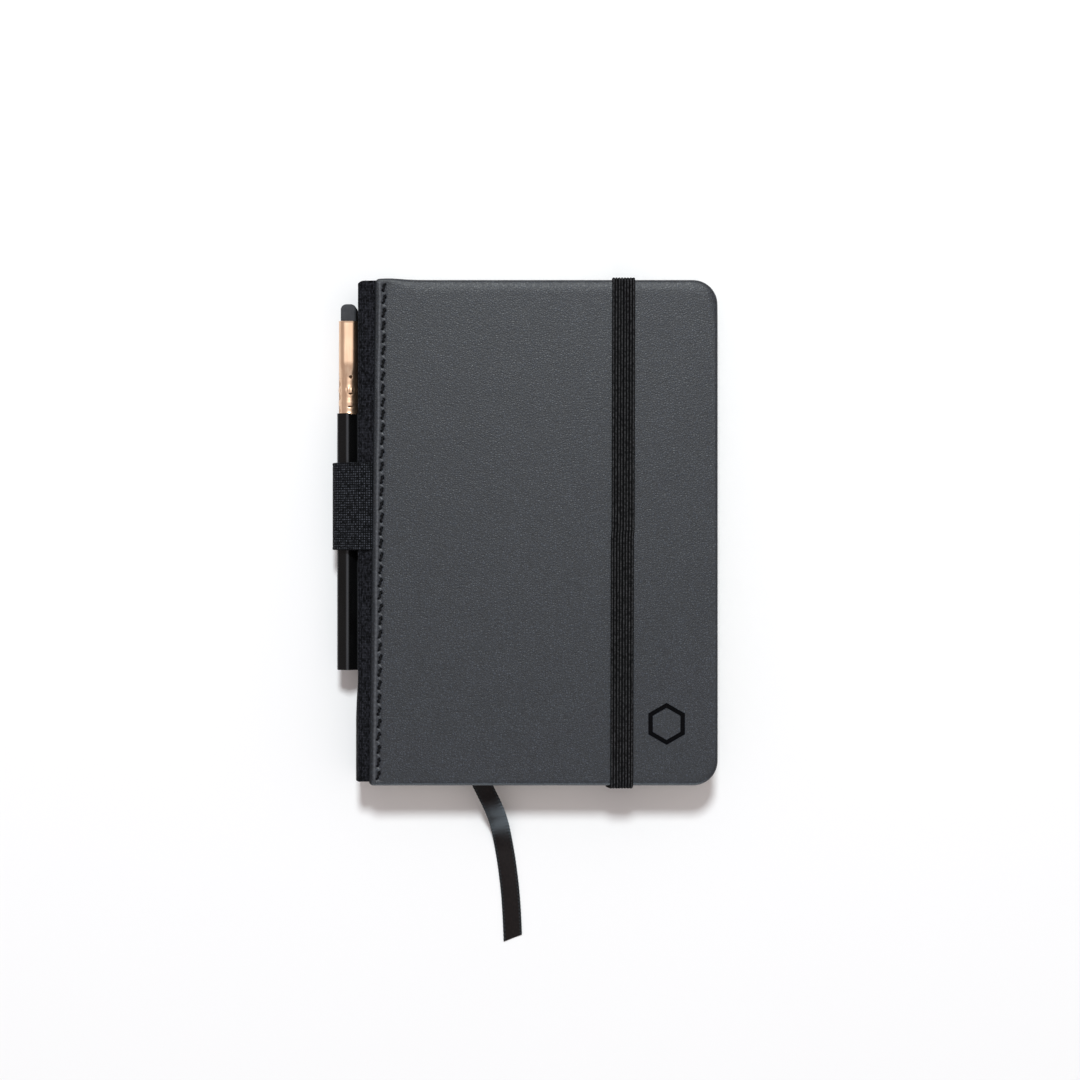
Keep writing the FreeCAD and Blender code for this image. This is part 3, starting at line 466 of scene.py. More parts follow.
CAMERA_HEIGHT = 0.6292
CAMERA_SHIFT = (0.80 * MM, -2.16 * MM)
COVER_VIEW = 0.3156
SENSOR = 36.0
FLOOR_HALF = 1.5
SKY_COLOUR = (1.0, 0.905, 0.89, 1)
SKY_POWER = 0.56
LAMPS = [
    # name, direction from the book, distance, size, watts, colour, shine only
    ("window", (0.0, 0.646, 1.0), 2.4, 0.45, 51.0, (0.92, 0.98, 1.0), False),
    ("ceiling", (0.0, 0.0, 1.0), 2.0, 1.4, 3.0, (0.90, 0.96, 1.0), True),
    ("low_reflector", (0.10, -2.6, 1.0), 1.6, 0.7, 17.0, (0.72, 0.88, 1.0), True),
]


def make_camera():
    """Straight above the cover; the picture is COVER_VIEW wide at the cover's face."""
    data = bpy.data.cameras.new("camera")
    data.sensor_width = SENSOR
    data.lens = SENSOR * (CAMERA_HEIGHT - TOP) / COVER_VIEW
    data.clip_start = 0.01
    camera = put("camera", data)
    camera.location = (*CAMERA_SHIFT, CAMERA_HEIGHT)
    scene.camera = camera


def make_floor():
    corners = [(x * FLOOR_HALF, y * FLOOR_HALF, 0) for x, y in ((-1, -1), (1, -1), (1, 1), (-1, 1))]
    mesh = bpy.data.meshes.new("floor")
    mesh.from_pydata(corners, [], [(0, 1, 2, 3)])
    paint = Paint("white_table", Roughness=0.9, Specular_IOR_Level=0.1)
    cloud = paint.noise(0.2, 2.0)
    paint.colour(paint.blend(cloud, (0.822, 0.827, 0.834), (0.838, 0.843, 0.848)))
    mesh.materials.append(paint.material)
    floor = put("floor", mesh)


def add_lamp(name, direction, distance, size, power, colour, shine_only):
    """A round area lamp that shines at the book; one that is shine_only shows in reflections alone."""
    data = bpy.data.lights.new(name, "AREA")
    data.shape = "DISK"
    data.size = size
    data.energy = power
    data.color = colour
    lamp = put(name, data)
    towards = Vector(direction).normalized()
    lamp.location = towards * distance
    lamp.rotation_euler = towards.to_track_quat("Z", "Y").to_euler()
    lamp.visible_diffuse = not shine_only


def make_light():
    world = bpy.data.worlds.new("studio")
    world.use_nodes = True
    sky = world.node_tree.nodes["Background"]
    sky.inputs["Color"].default_value = SKY_COLOUR
    sky.inputs["Strength"].default_value = SKY_POWER
    scene.world = world
    scene.view_settings.view_transform = "Standard"
    for lamp in LAMPS:
        add_lamp(*lamp)


make_camera()
make_floor()
make_light()

# Measures that a piece's shape and its paint share.
RIBBON_WIDE = 5.5 * MM
SELVEDGE = 0.75 * MM
TOOTH_PITCH = 1.1 * MM
PENCIL_X = -55.9 * MM
BAND_RIBS = 8
strap_low, strap_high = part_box("elastic_strap")
BAND_WIDE = strap_high.x - strap_low.x
BAND_PITCH = BAND_WIDE / BAND_RIBS

LEATHER = leather_paint()
CUT_EDGE = grained_paint("leather_cut_edge", (0.012, 0.013, 0.015), (0.032, 0.034, 0.037),
                         (0.25 * MM, 3.0), 0.03 * MM, Roughness=0.85, Specular_IOR_Level=0.2)
GREYBOARD = grained_paint("greyboard", (0.17, 0.155, 0.135), (0.30, 0.28, 0.25),
                          (0.5 * MM, 5.0, (3, 1, 1)), 0.05 * MM, Roughness=0.9)
ENDPAPER = paper_paint("endpaper", (0.74, 0.72, 0.66), (0.66, 0.64, 0.57), 0.5 * MM)
PAPER = paper_paint("page_paper", (0.80, 0.77, 0.68), (0.70, 0.66, 0.56), 0.3 * MM)
CLOTH = spine_cloth_paint()
GAUZE = gauze_paint()
LINEN = thread_paint("linen_thread", (0.55, 0.50, 0.42), (0.80, 0.76, 0.66), 0.8, 0.3)
STITCH = thread_paint("stitch_thread", (0.0012, 0.0012, 0.0014), (0.0065, 0.0066, 0.0074), 0.7, 0.14)
ELASTIC = elastic_paint()
WEBBING = webbing_paint()
SATIN = satin_paint()
LACQUER = lacquer_paint()
WOOD = grained_paint("pencil_wood", (0.25, 0.12, 0.055), (0.48, 0.28, 0.15), (0.5 * MM, 4.0, (4, 1, 1)),
                     0.03 * MM, Roughness=0.7)
GRAPHITE = grained_paint("graphite", (0.02, 0.02, 0.022), (0.06, 0.06, 0.065), (0.2 * MM, 3.0),
                         0.02 * MM, Roughness=0.45, Metallic=0.3)
GOLD = metal_paint("gold_metal", (0.68, 0.44, 0.29), (0.80, 0.57, 0.40), 0.27, 0.34)
# painted shade: dark brown metal for the middle of the punched dents on the ferrule
DENT_SHADE = metal_paint("dark_brass", (0.045, 0.022, 0.012), (0.11, 0.06, 0.035), 0.5, 0.7)
CLAMP = metal_paint("clamp_metal", (0.55, 0.42, 0.22), (0.75, 0.60, 0.36), 0.3, 0.45)
RUBBER = grained_paint("eraser_rubber", (0.026, 0.027, 0.031), (0.052, 0.054, 0.060), (0.3 * MM, 5.0),
                       0.05 * MM, (3 * MM, 0.5), Roughness=0.80, Specular_IOR_Level=0.25)


# Bookmark ribbon: a free end of 54 mm, measured from where it leaves the pages

RIBBON_ROUTE = [
    (-0.01855, -0.07003, 0.00805),
    (-0.01510, -0.07700, 0.00805),
    (-0.01260, -0.08240, 0.00603),
    (-0.01120, -0.08740, 0.00221),
    (-0.01015, -0.09303, 0.00015),
    (-0.00905, -0.09960, 0.00015),
    (-0.00775, -0.11060, 0.00015),
    (-0.00735, -0.12150, 0.00015),
]
RIBBON_THICK = 0.2 * MM
RIBBON_SLANT = 1.9 * MM
RIBBON_CUP = 0.08 * MM
TOOTH = 0.07 * MM
SLANT_RUN = 6 * MM


def smooth_route(points):
    """The points of the smooth line that the route's points control."""
    data = bpy.data.curves.new("route", "CURVE")
    data.dimensions = "3D"
    data.resolution_u = 72
    spline = data.splines.new("NURBS")
    spline.points.add(len(points) - 1)
    for spot, point in zip(spline.points, points):
        spot.co = (*point, 1)
    spline.order_u = 3
    spline.use_endpoint_u = True
    holder = put("route", data)
    line = bpy.data.meshes.new_from_object(holder)
    spots = [v.co.copy() for v in line.vertices]
    bpy.data.objects.remove(holder)
    bpy.data.meshes.remove(line)
    return spots


def ribbon_section(travelled):
    """Slightly cupped, with a bead along both edges that swells at every cross thread."""
    half = RIBBON_WIDE / 2
    woven = half - SELVEDGE
    tooth = TOOTH * sin(pi * travelled / TOOTH_PITCH) ** 2
    top = []
    for a in (-half, -woven, -woven / 2, 0.0, woven / 2, woven, half):
        lift = RIBBON_CUP * (a / half) ** 2
        bead = tooth if abs(a) == half else 0.0
        top.append((a + copysign(bead, a), lift + RIBBON_THICK / 2 + bead))
    return top + [(a, u - RIBBON_THICK) for a, u in reversed(top)]


def make_ribbon():
    exit_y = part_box("ribbon_inner")[0].y
    spots = [s for s in smooth_route(RIBBON_ROUTE) if s.y < exit_y + 0.3 * MM]
    travelled = [0.0]
    for a, b in zip(spots, spots[1:]):
        travelled.append(travelled[-1] + (b - a).length)
    neighbours = zip(spots[:1] + spots, spots[1:] + spots[-1:])
    runs = [(after - before).normalized() for before, after in neighbours]
    frames = []
    for spot, along in zip(spots, runs):
        across = along.cross(UP).normalized()
        frames.append((spot, across, across.cross(along).normalized()))
    points, faces, cloth = sweep(frames, lambda k: ribbon_section(travelled[k]))
    count = len(points) // len(frames)
    for k, along in enumerate(runs):
        near_end = float(smooth(1 - (travelled[-1] - travelled[k]) / SLANT_RUN))
        for index in range(k * count, (k + 1) * count):
            share = cloth[index][1] / (RIBBON_WIDE / 2)
            points[index] = points[index] + along * share * RIBBON_SLANT / 2 * near_end
    ribbon = new_piece("bookmark_ribbon", (points, faces, cloth), [SATIN], "back_cover",
                       ["ribbon_tail"])
    start = next(k for k, s in enumerate(spots) if s.y <= exit_y)
    tuple(spots[start])
    [tuple(s) for s in spots[::6] + spots[-1:]]


make_ribbon()


# Covers

COVER_CORNER = 7.2 * MM
LEATHER_CORNER = 1.2 * MM

LEAN = 1.8 * MM
SKIN = 0.8 * MM
CHANNEL_DEEP = SKIN - 0.04 * MM
RIM_DEPTH = 2.8 * MM
CUT_ROWS = (3, 4, 5, 6)  # they show the sheet's backing where its edge is free
EDGE_ROUND = 0.75 * MM
FREE_ROUND = 0.45 * MM
PILLOW_REACH = 4.2 * MM
PILLOW_DROP = 0.80 * MM
PILLOW_AT_SPINE = 0.25
PILLOW_AT_TAIL = 0.45
PILLOW_LESS_AT_FORE = 0.65
HEAD_SWELL = 0.42 * MM
HEAD_SWELL_RUN = 4 * MM
STITCHES = 39
STITCH_PITCH = 3.76 * MM
STITCH_SHIFT = 0.5 * MM
STITCH_LONG = 2.9 * MM
STITCH_LEAN = 0.58 * MM
STITCH_INSET = 2.70 * MM
THREAD_HALF = 0.20 * MM
THREAD_SINK = 0.24 * MM
THREAD_DIVE = 0.46 * MM
THREAD_SHARE = 0.94
GROOVE_DEEP = 0.16 * MM
GROOVE_HALF = 0.75 * MM
PIT_DEEP = 0.24 * MM
HOLE_DEEP = 0.30 * MM
RIDGE_HIGH = 0.16 * MM
RIDGE_HALF = 0.44 * MM
RIDGE_ASIDE = 1.15 * MM
DIP_ASIDE = 1.75 * MM
DIP_DEEP = 0.08 * MM
BRIDGE_HIGH = 0.10 * MM
ROW_END = 1.9 * MM
ROW_FADE = 0.7 * MM
TORN = 0.12 * MM
TORN_PITCH = 1.05 * MM
# the ridge's painted highlight waxes and wanes along the row at this pitch
HIGHLIGHT_PITCH = 1.7 * MM
WALL = 0.1 * MM
SLOT_Y = 61.1 * MM
CHANNEL_START = SLOT_Y - 0.3 * MM
CHANNEL_END = 72.2 * MM
EDGE_SHADE = 0.45
MARK_DEEP = 0.25 * MM
MARK_OUTER = 5.2 * MM
MARK_INNER = 4.0 * MM
MARK_WALL = 0.18 * MM
MARK_SHADE = 0.97
MARK_PLACE = (37.8 * MM, -55.9 * MM)


def cover_outline(low, high, lean, stops):
    """Points round a cover's leather: (position, normal, arc centre, arc radius, inward, wrap, pillow).

    Wrap is 1 where the leather goes down round the board and 0 along its free edge beside the spine.
    Pillow is how far the gentle slope behind the edge is developed; it is small beside the spine."""
    corners = [
        (low.x, low.y, LEATHER_CORNER, (1, 1), 180, 0, 1),
        (high.x, low.y, COVER_CORNER, (-1, 1), 270, 1, 1),
        (high.x, high.y, COVER_CORNER, (-1, -1), 0, 1, 1),
        (low.x + lean, high.y, LEATHER_CORNER, (1, -1), 90, 1, 0),
    ]
    centres = [Vector((x + way[0] * r, y + way[1] * r)) for x, y, r, way, _, _, _ in corners]
    outline = []

    def add(position, *facts):
        outline.append((position, *facts, pillow(position.x - low.x, position.y)))

    for k, (_, _, radius, inward, start, wrap_in, wrap_out) in enumerate(corners):
        steps = 5 if radius == LEATHER_CORNER else 14
        for i in range(steps + 1):
            normal = Vector(polar(1, start + 90 * i / steps))
            wrap = lerp(wrap_in, wrap_out, i / steps)
            add(centres[k] + normal * radius, normal, centres[k], radius, Vector(inward), wrap)
        last = outline[-1][0]
        run = centres[(k + 1) % 4] + normal * corners[(k + 1) % 4][2] - last
        shares = [i / 24 for i in range(1, 24)] + [1 / 48, 3 / 48, 45 / 48, 47 / 48]
        if abs(run.x) > abs(run.y):
            shares += [(stop - last.x) / run.x for stop in stops]
        for share in sorted(s for s in shares if 0.02 < s < 0.98):
            add(last + run * share, normal, None, 0.0, None, wrap_out)
    return outline


def pillow(from_spine, y):
    """How far the gentle slope is developed: fully at the head, less at the tail, least at the spine."""
    by_height = lerp(PILLOW_AT_TAIL, 1.0, ramp(y, -60 * MM, 120 * MM))
    at_fore = ramp(from_spine, 92 * MM, 6 * MM) * (1 - ramp(abs(y), 60 * MM, 9 * MM))
    by_height *= 1 - PILLOW_LESS_AT_FORE * at_fore
    return lerp(PILLOW_AT_SPINE, by_height, ramp(from_spine, 4 * MM, 10 * MM))


def inset(spot, distance):
    """A point of the outline moved inwards."""
    position, normal, centre, radius, inward = spot[:5]
    if centre is None:
        return position - normal * distance
    if distance <= radius:
        return centre + normal * (radius - distance)
    return centre + inward * (distance - radius)


def cover_rows():
    """The skin's section from the inside of the sheet out, round the edge and onto the face.

    Each row is (inset, depth, slope) where the leather wraps the board, and (inset, depth) at its free
    edge. Slope is how far the row lies along the gentle slope behind the edge."""
    rows = [
        ((SKIN, SKIN, None), (1.0 * MM, SKIN)),
        ((SKIN, RIM_DEPTH, None), (0.7 * MM, SKIN)),
        ((0.35 * MM, RIM_DEPTH, None), (0.4 * MM, SKIN)),
        ((0.10 * MM, RIM_DEPTH - 0.12 * MM, None), (0.10 * MM, SKIN - 0.08 * MM)),
        ((0.0, RIM_DEPTH - 0.45 * MM, None), (0.0, SKIN - 0.25 * MM)),
    ]
    for k in range(8):
        angle = radians(90 * k / 7)
        across, down = 1 - cos(angle), 1 - sin(angle)
        rows.append(((EDGE_ROUND * across, EDGE_ROUND * down, 0.0), (FREE_ROUND * across, 0.5 * MM * down)))
    for slope in (0.12, 0.27, 0.45, 0.70, 1.0):
        rows.append(((EDGE_ROUND, 0.0, slope), (FREE_ROUND + 0.1 * MM * slope, 0.0)))
    return rows


def row_spot(spot, wrap_row, free_row, spine_x, head_y):
    """Place and depth of one point of a row."""
    wrap, full = spot[5], spot[6]
    across, down, slope = wrap_row
    if slope is not None:
        reach = PILLOW_REACH * full
        across = across + max(reach - EDGE_ROUND, 0.1 * MM) * slope
        down = down + PILLOW_DROP * full * max(1 - across / reach, 0.0) ** 3
    place = inset(spot, lerp(free_row[0], across, wrap)).copy()
    if spot[0].y > head_y - HEAD_SWELL_RUN:
        near_edge = max(0.0, 1 - (head_y - place.y) / HEAD_SWELL_RUN)
        place.y += HEAD_SWELL * float(hill(place.x - spine_x - 4 * MM, 5 * MM)) * near_edge
    return place, lerp(free_row[1], down, wrap)


def stitch_spots(low, lean):
    """Each stitch of a cover's row as (x, y, lean, length), sewn by hand and a little uneven."""
    hand = random.Random(11)
    spots = []
    for k in range(STITCHES):
        y = (k - (STITCHES - 1) / 2) * STITCH_PITCH + STITCH_SHIFT
        share = (y - low.y) / (2 * abs(low.y))
        x = low.x + lean * share * 0.95 + STITCH_INSET + hand.uniform(-0.10, 0.10) * MM
        spots.append((x, y + hand.uniform(-0.15, 0.15) * MM, STITCH_LEAN * hand.uniform(0.6, 1.3),
                      STITCH_LONG * hand.uniform(0.88, 1.06)))
    return spots


def row_depth(x, y, spots):
    """Depth, painted highlight and painted shade of the row of stitches: a groove with a pit under each
    stitch, darkened with painted shade; a ridge with a painted highlight and a dip with painted shade on its
    spine side; and a bridge between neighbouring stitches, which also takes a painted highlight."""
    line_x, line_y, leans, lengths = np.array(spots).T
    aside = x - np.interp(y, line_y, line_x)
    in_row = smooth((line_y[-1] + ROW_END - y) / ROW_FADE) * smooth((y - line_y[0] + ROW_END) / ROW_FADE)
    depth = GROOVE_DEEP * hill(aside, GROOVE_HALF) * in_row
    near = np.abs(y[:, None] - line_y[None, :]).argmin(axis=1)
    along = (y - line_y[near]) / (lengths[near] / 2)
    torn = TORN * np.sin(2 * pi * y / TORN_PITCH + 2.1 * near)
    slant = x - line_x[near] - along * leans[near] / 2 + torn
    pit = np.exp(-(slant / (0.22 * MM)) ** 2 - along ** 6)
    upper = np.exp(-((slant - 0.08 * MM) / (0.36 * MM)) ** 2 - ((along - 0.45) / 0.40) ** 2)
    lower = np.exp(-((slant + 0.16 * MM) / (0.32 * MM)) ** 2 - ((along + 0.72) / 0.26) ** 2)
    depth += PIT_DEEP * pit + HOLE_DEEP * np.maximum(upper, 0.9 * lower)
    ridge = hill(aside + RIDGE_ASIDE, RIDGE_HALF) * in_row
    dip = smooth((DIP_ASIDE - 0.15 * MM + aside) / (-0.35 * MM)) * (aside < 0)
    depth += DIP_DEEP * dip - RIDGE_HIGH * ridge
    gap = y - line_y[near] - np.copysign(STITCH_PITCH / 2, along)
    bridge = np.exp(-((gap + 0.9 * aside) / (0.24 * MM)) ** 2 - (aside / (0.60 * MM)) ** 2) * in_row
    depth -= BRIDGE_HIGH * bridge
    # painted highlight on the ridge and on the bridges between stitches
    ridge_highlight = 0.62 * ridge * (0.8 + 0.2 * np.sin(2 * pi * y / HIGHLIGHT_PITCH))
    shaded = np.clip(1.3 * pit + 1.3 * np.maximum(upper, lower), 0, 1) ** 1.3
    return depth, np.clip(ridge_highlight + 0.75 * bridge, 0, 1), np.maximum(shaded, EDGE_SHADE * dip)


def face_depth(x, y, spots, mark, channel):
    """How far the face lies below its level at each point, and how much painted highlight and painted shade
    it takes.
    """
    depth, painted_highlight, shaded = row_depth(x, y, spots)
    if mark:
        away = hexagon_distance(x, y)
        stamped = smooth((away - MARK_INNER) / MARK_WALL) * (1 - smooth((away - MARK_OUTER) / MARK_WALL))
        depth += MARK_DEEP * stamped
        shaded = np.maximum(shaded, MARK_SHADE * stamped)
    if channel:
        left, right = channel
        in_x = smooth((x - left) / WALL) * smooth((right - x) / WALL)
        depth = np.maximum(depth, CHANNEL_DEEP * in_x * smooth((np.abs(y) - CHANNEL_START) / WALL))
    return depth, painted_highlight, shaded


def hexagon_distance(x, y):
    """Distance from the mark's centre across the flats of a hexagon that stands on a corner."""
    away = np.zeros_like(x)
    for k in range(3):
        flat_x, flat_y = polar(1, 60 * k)
        away = np.maximum(away, np.abs((x - MARK_PLACE[0]) * flat_x + (y - MARK_PLACE[1]) * flat_y))
    return away


def mark_points():
    """Points on each side of the stamped ring's two walls."""
    points = []
    for across in [wall + MARK_WALL * part / 2 for wall in (MARK_INNER, MARK_OUTER) for part in range(3)]:
        corner = across / cos(radians(30))
        for k in range(6):
            a, b = Vector(polar(corner, 60 * k + 30)), Vector(polar(corner, 60 * k + 90))
            points += [Vector(MARK_PLACE) + a.lerp(b, i / 12) for i in range(12)]
    return points


def stitch_row_points(spots):
    """A fine net of points over the row of stitches."""
    xs, ys = [s[0] for s in spots], [s[1] for s in spots]
    low, high = ys[0] - 2.0 * MM, ys[-1] + 2.0 * MM
    rows = int((high - low) / (STITCH_PITCH / 16))
    points = []
    for i in range(rows + 1):
        y = lerp(low, high, i / rows)
        x = float(np.interp(y, ys, xs))
        points += [Vector((x + k * 0.17 * MM, y)) for k in range(-11, 9)]
    return points


def channel_points(left, right):
    ys = [CHANNEL_START, CHANNEL_START + WALL / 2, CHANNEL_START + WALL]
    ys += [lerp(CHANNEL_START, CHANNEL_END, i / 8) for i in range(1, 9)]
    xs = [left, left + WALL / 2, left + WALL, (left + right) / 2, right - WALL, right - WALL / 2, right]
    return [Vector((x, side * y)) for x in xs for y in ys for side in (-1, 1)]


def edge_points(outline, face_z, outward, spine_x, head_y, spots, channel):
    """The rows of points round a cover's edge; they dip under the band where its channel meets them."""
    points = []
    for wrap_row, free_row in cover_rows():
        placed = [row_spot(s, wrap_row, free_row, spine_x, head_y) for s in outline]
        depths = np.array([d for _, d in placed])
        if channel and (wrap_row[0] < SKIN or wrap_row[2] is not None):
            x, y = np.array([tuple(p) for p, _ in placed]).T
            floor, _, _ = face_depth(x, y, spots, False, channel)
            depths = np.maximum(depths, np.where(floor > 0.5 * MM, np.minimum(floor, CHANNEL_DEEP), 0.0))
        points += [Vector((p.x, p.y, face_z - outward * float(d))) for (p, _), d in zip(placed, depths)]
    return points


def make_cover_skin(side, face_z, outward, lean, mark, channel):
    """Imitation leather over one cover board, with its worked face."""
    low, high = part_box(f"{side}_leather")
    spots = stitch_spots(low, lean)
    stops = [channel[0], channel[0] + WALL, channel[1] - WALL, channel[1]] if channel else []
    outline = cover_outline(low, high, lean, stops)
    points = edge_points(outline, face_z, outward, low.x + lean, high.y, spots, channel)
    count = len(outline)
    total = len(points) // count
    faces = ring_faces(total, count)
    free = [spot[5] < 0.5 for spot in outline]
    cut_edge = [i * count + j for i in CUT_ROWS for j in range(count) if free[j] and free[(j + 1) % count]]
    faces.append(tuple(range(count)))
    tone = [(0.0, EDGE_SHADE * (1 - spot[5])) for spot in outline] * total
    rim = points[-count:]
    on_rim = {(round(p.x, 7), round(p.y, 7)): p.z for p in rim}
    extra = stitch_row_points(spots) + (channel_points(*channel) if channel else [])
    extra += mark_points() if mark else []
    net = [p.xy for p in rim] + [p for p in extra if inside_ring(p, low, high, lean)]
    flat, _, triangles, _, _, _ = delaunay_2d_cdt(net, [], [list(range(count))], 1, 1e-7)
    faces += [tuple(len(points) + k for k in t) for t in triangles]
    x, y = np.array([tuple(p) for p in flat]).T
    worked = np.array([x, y, *face_depth(x, y, spots, mark, channel)])
    for px, py, depth, light, dark in worked.T.tolist():
        z = on_rim.get((round(px, 7), round(py, 7)))
        points.append(Vector((px, py, face_z - outward * depth if z is None else z)))
        tone.append((light, dark))
    new_piece(f"{side}_cover_leather", (points, faces, tone), [LEATHER, CUT_EDGE],
              f"{side}_cover", [f"{side}_leather"], 50, cut_edge)


def inside_ring(point, low, high, lean):
    """Whether a point of the face lies well inside the ring where the face begins."""
    free_edge = low.x + lean * (point.y - low.y) / (high.y - low.y)
    reach = PILLOW_REACH * pillow(point.x - low.x, point.y) + 0.12 * MM
    margin = min(point.y - low.y, high.y - point.y, high.x - point.x)
    return point.x > free_edge + FREE_ROUND + 0.25 * MM and margin > reach


def ply_section(k, steps):
    """A two-ply thread's section, which turns as it goes."""
    twist = 2.4 * pi * k / steps
    ring = []
    for i in range(10):
        angle = 2 * pi * i / 10
        radius = THREAD_HALF * (1 + 0.18 * cos(2 * (angle - twist)))
        ring.append((radius * cos(angle), 0.75 * radius * sin(angle)))
    return ring


def make_stitches(side, face_z, outward, lean, steps=14):
    """Waxed thread: each stitch is a two-ply strand that dives into the leather at both ends."""
    strands = []
    for x, y, slant, long in stitch_spots(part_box(f"{side}_leather")[0], lean):
        frames = []
        for share in [k / steps - 0.5 for k in range(steps + 1)]:
            sink = THREAD_SINK + THREAD_DIVE * (2 * abs(share)) ** 3
            spot = Vector((x + slant * share, y + THREAD_SHARE * long * share, face_z - outward * sink))
            frames.append((spot, ACROSS_X, UP))
        strands.append(sweep(frames, lambda k: ply_section(k, steps)))
    new_piece(f"{side}_stitches", join(strands), [STITCH], f"{side}_cover",
              [f"{side}_stitching"], 80)


band_channel = (strap_low.x - 0.25 * MM, strap_high.x + 0.25 * MM)
make_cover_skin("front", TOP, 1, LEAN, True, None)
make_cover_skin("back", 0.0, -1, 0.0, False, band_channel)
make_stitches("front", TOP, 1, LEAN)
make_stitches("back", 0.0, -1, 0.0)


# Spine cloth: one wrap on the back cover that ends in a bead on the hinge line, and one on the front cover

CLOTH_THICK = 0.3 * MM
CLOTH_LAP = 0.9 * MM
CLOTH_JOINT = 1.15 * MM
BEAD = 0.35 * MM
WALL_X = -52.35 * MM
TAIL_BOW = 0.75 * MM
HEAD_BOW = 0.12 * MM
HEAD_ROUND = 1.6 * MM
HEAD_ROUND_X = 2.3 * MM


def cloth_section(low_y, high_y):
    """The cloth's section: flat, with its two ends turned in."""
    half = CLOTH_THICK / 2
    hem = 0.12 * MM
    stations = [lerp(low_y, high_y, k / 24) for k in range(1, 24)]
    stations += [high_y - back * MM for back in (1.6, 1.3, 1.0, 0.7, 0.45, 0.28)]
    top = [(low_y, 0.0), (low_y + hem, half)]
    top += [(y, half) for y in stations]
    top += [(high_y - hem, half), (high_y, 0.0)]
    return top + [(y, -half) for y, _ in reversed(top[1:-1])]


def shape_spine(skin, bulge):
    """The cloth bows out past both ends of the pencil, and its head corner is round."""
    low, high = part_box("spine_cloth")
    points, faces, cloth = skin
    for point in points:
        beside = ramp(-point.x, 50.6 * MM, 1.2 * MM)
        up = ramp(point.z, 0, 4 * MM) * ramp(-point.z, 0.2 * MM - HINGE_Z, 2 * MM)
        tail_bow, head_bow = ramp(-point.y, 42 * MM, 10 * MM), ramp(point.y, 67 * MM, 5 * MM)
        point.x -= bulge * beside * up * (TAIL_BOW * tail_bow + HEAD_BOW * head_bow)
        into = min(max((point.y - (high.y - HEAD_ROUND)) / HEAD_ROUND, 0.0), 1.0)
        limit = WALL_X - 0.3 * MM + HEAD_ROUND_X * (1 - sqrt(1 - into * into))
        point.x = max(point.x, limit + (point.x - WALL_X) * 0.5) if into > 0 else point.x
    return points, faces, cloth


def make_spine_cloth():
    low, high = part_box("spine_cloth")
    section = cloth_section(low.y, high.y)
    line = rounded_line([
        (-45.5 * MM, CLOTH_LAP, 0),
        (-48.6 * MM, CLOTH_LAP, 1.2 * MM),
        (-49.6 * MM, CLOTH_JOINT, 1.2 * MM),
        (WALL_X, CLOTH_JOINT, 0.7 * MM),
        (WALL_X, HINGE_Z, 0),
    ])
    line = line[:-1] + arc((HINGE_X, HINGE_Z), BEAD, 180, -110, 18)
    frames = plane_frames(divide(line, 1.2 * MM))
    new_piece("spine_wrap", shape_spine(sweep(frames, section), 1.0), [CLOTH], "back_cover",
              ["spine_cloth"], 60)
    line = rounded_line([
        (HINGE_X + 0.2 * MM, HINGE_Z + 0.05 * MM, 0),
        (-49.6 * MM, TOP - CLOTH_JOINT, 1.0 * MM),
        (-48.6 * MM, TOP - CLOTH_LAP, 1.2 * MM),
        (-45.5 * MM, TOP - CLOTH_LAP, 0),
    ])
    frames = plane_frames(divide(line, 1.2 * MM))
    new_piece("front_joint_cloth", shape_spine(sweep(frames, section), 0.0), [CLOTH],
              "front_cover", ["front_cloth"], 60)


make_spine_cloth()


# Pages: every signature is four folded sheets, one inside the other

SHEETS = 4
LEAF_THICK = 0.095 * MM
GUTTER = 6.15 * MM
PAGE_CORNER = 6.0 * MM


def leaf_half(x, fore, half):
    """Half the height of a leaf at x, less in its round corners."""
    into = x - (fore - PAGE_CORNER)
    if into <= 0:
        return half
    return half - PAGE_CORNER + sqrt(max(PAGE_CORNER ** 2 - into ** 2, (0.3 * MM) ** 2))


def leaf_stations(fold, fore):
    """Places along a leaf from its fold: close together in the gutter and in the round corner."""
    gutter = [fold + GUTTER * k / 12 for k in range(13)]
    plain = [lerp(gutter[-1], fore - PAGE_CORNER, k / 6) for k in range(1, 7)]
    corner = [fore - PAGE_CORNER + polar(PAGE_CORNER, 90 * k / 8)[1] for k in range(1, 9)]
    return gutter + plain + corner


def sheet_skin(line, half, fore):
    frames = plane_frames(line)

    def section(k):
        reach = leaf_half(line[k][0], fore, half)
        edge = LEAF_THICK / 2
        return [(-reach, -edge), (reach, -edge), (reach, edge), (-reach, edge)]

    return sweep(frames, section)


def new_leaves(name, skin, paint, node, turning):
    """A piece of pages; pieces whose leaves turn ride no body and have their placement baked into their
    points, and the others ride the back cover.
    """
    body = None if turning else "back_cover"
    piece = new_piece(name, skin, [paint], body, [node], 30)
    if turning:
        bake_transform(piece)


def make_signature(number, draw):
    node = f"signature_{number:02d}"
    low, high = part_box(node)
    step = (high.z - low.z) / (2 * SHEETS)
    sheets = []
    for k in range(SHEETS):
        bottom, top = low.z + (k + 0.5) * step, high.z - (k + 0.5) * step
        radius = (top - bottom) / 2
        centre = (low.x + step / 2 + k * step + radius, (top + bottom) / 2)
        fore = high.x - draw.uniform(0, 0.10) * MM
        half = high.y - draw.uniform(0, 0.08) * MM
        stations = leaf_stations(centre[0], fore)
        line = [(x, bottom) for x in reversed(stations)]
        line += arc(centre, radius, 270, 90, 6)[1:-1]
        line += [(x, top) for x in stations]
        sheets.append(sheet_skin(line, half, fore))
    new_leaves(f"leaves_{number:02d}", join(sheets), PAPER, node, number <= 5)


def make_flyleaf():
    low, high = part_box("front_flyleaf")
    line = [(x, (low.z + high.z) / 2) for x in leaf_stations(low.x, high.x)]
    new_leaves("front_flyleaf_sheet", sheet_skin(line, high.y, high.x), ENDPAPER, "front_flyleaf", True)


cuts = random.Random(7)
for number in range(1, 11):
    make_signature(number, cuts)
make_flyleaf()


# Elastic band

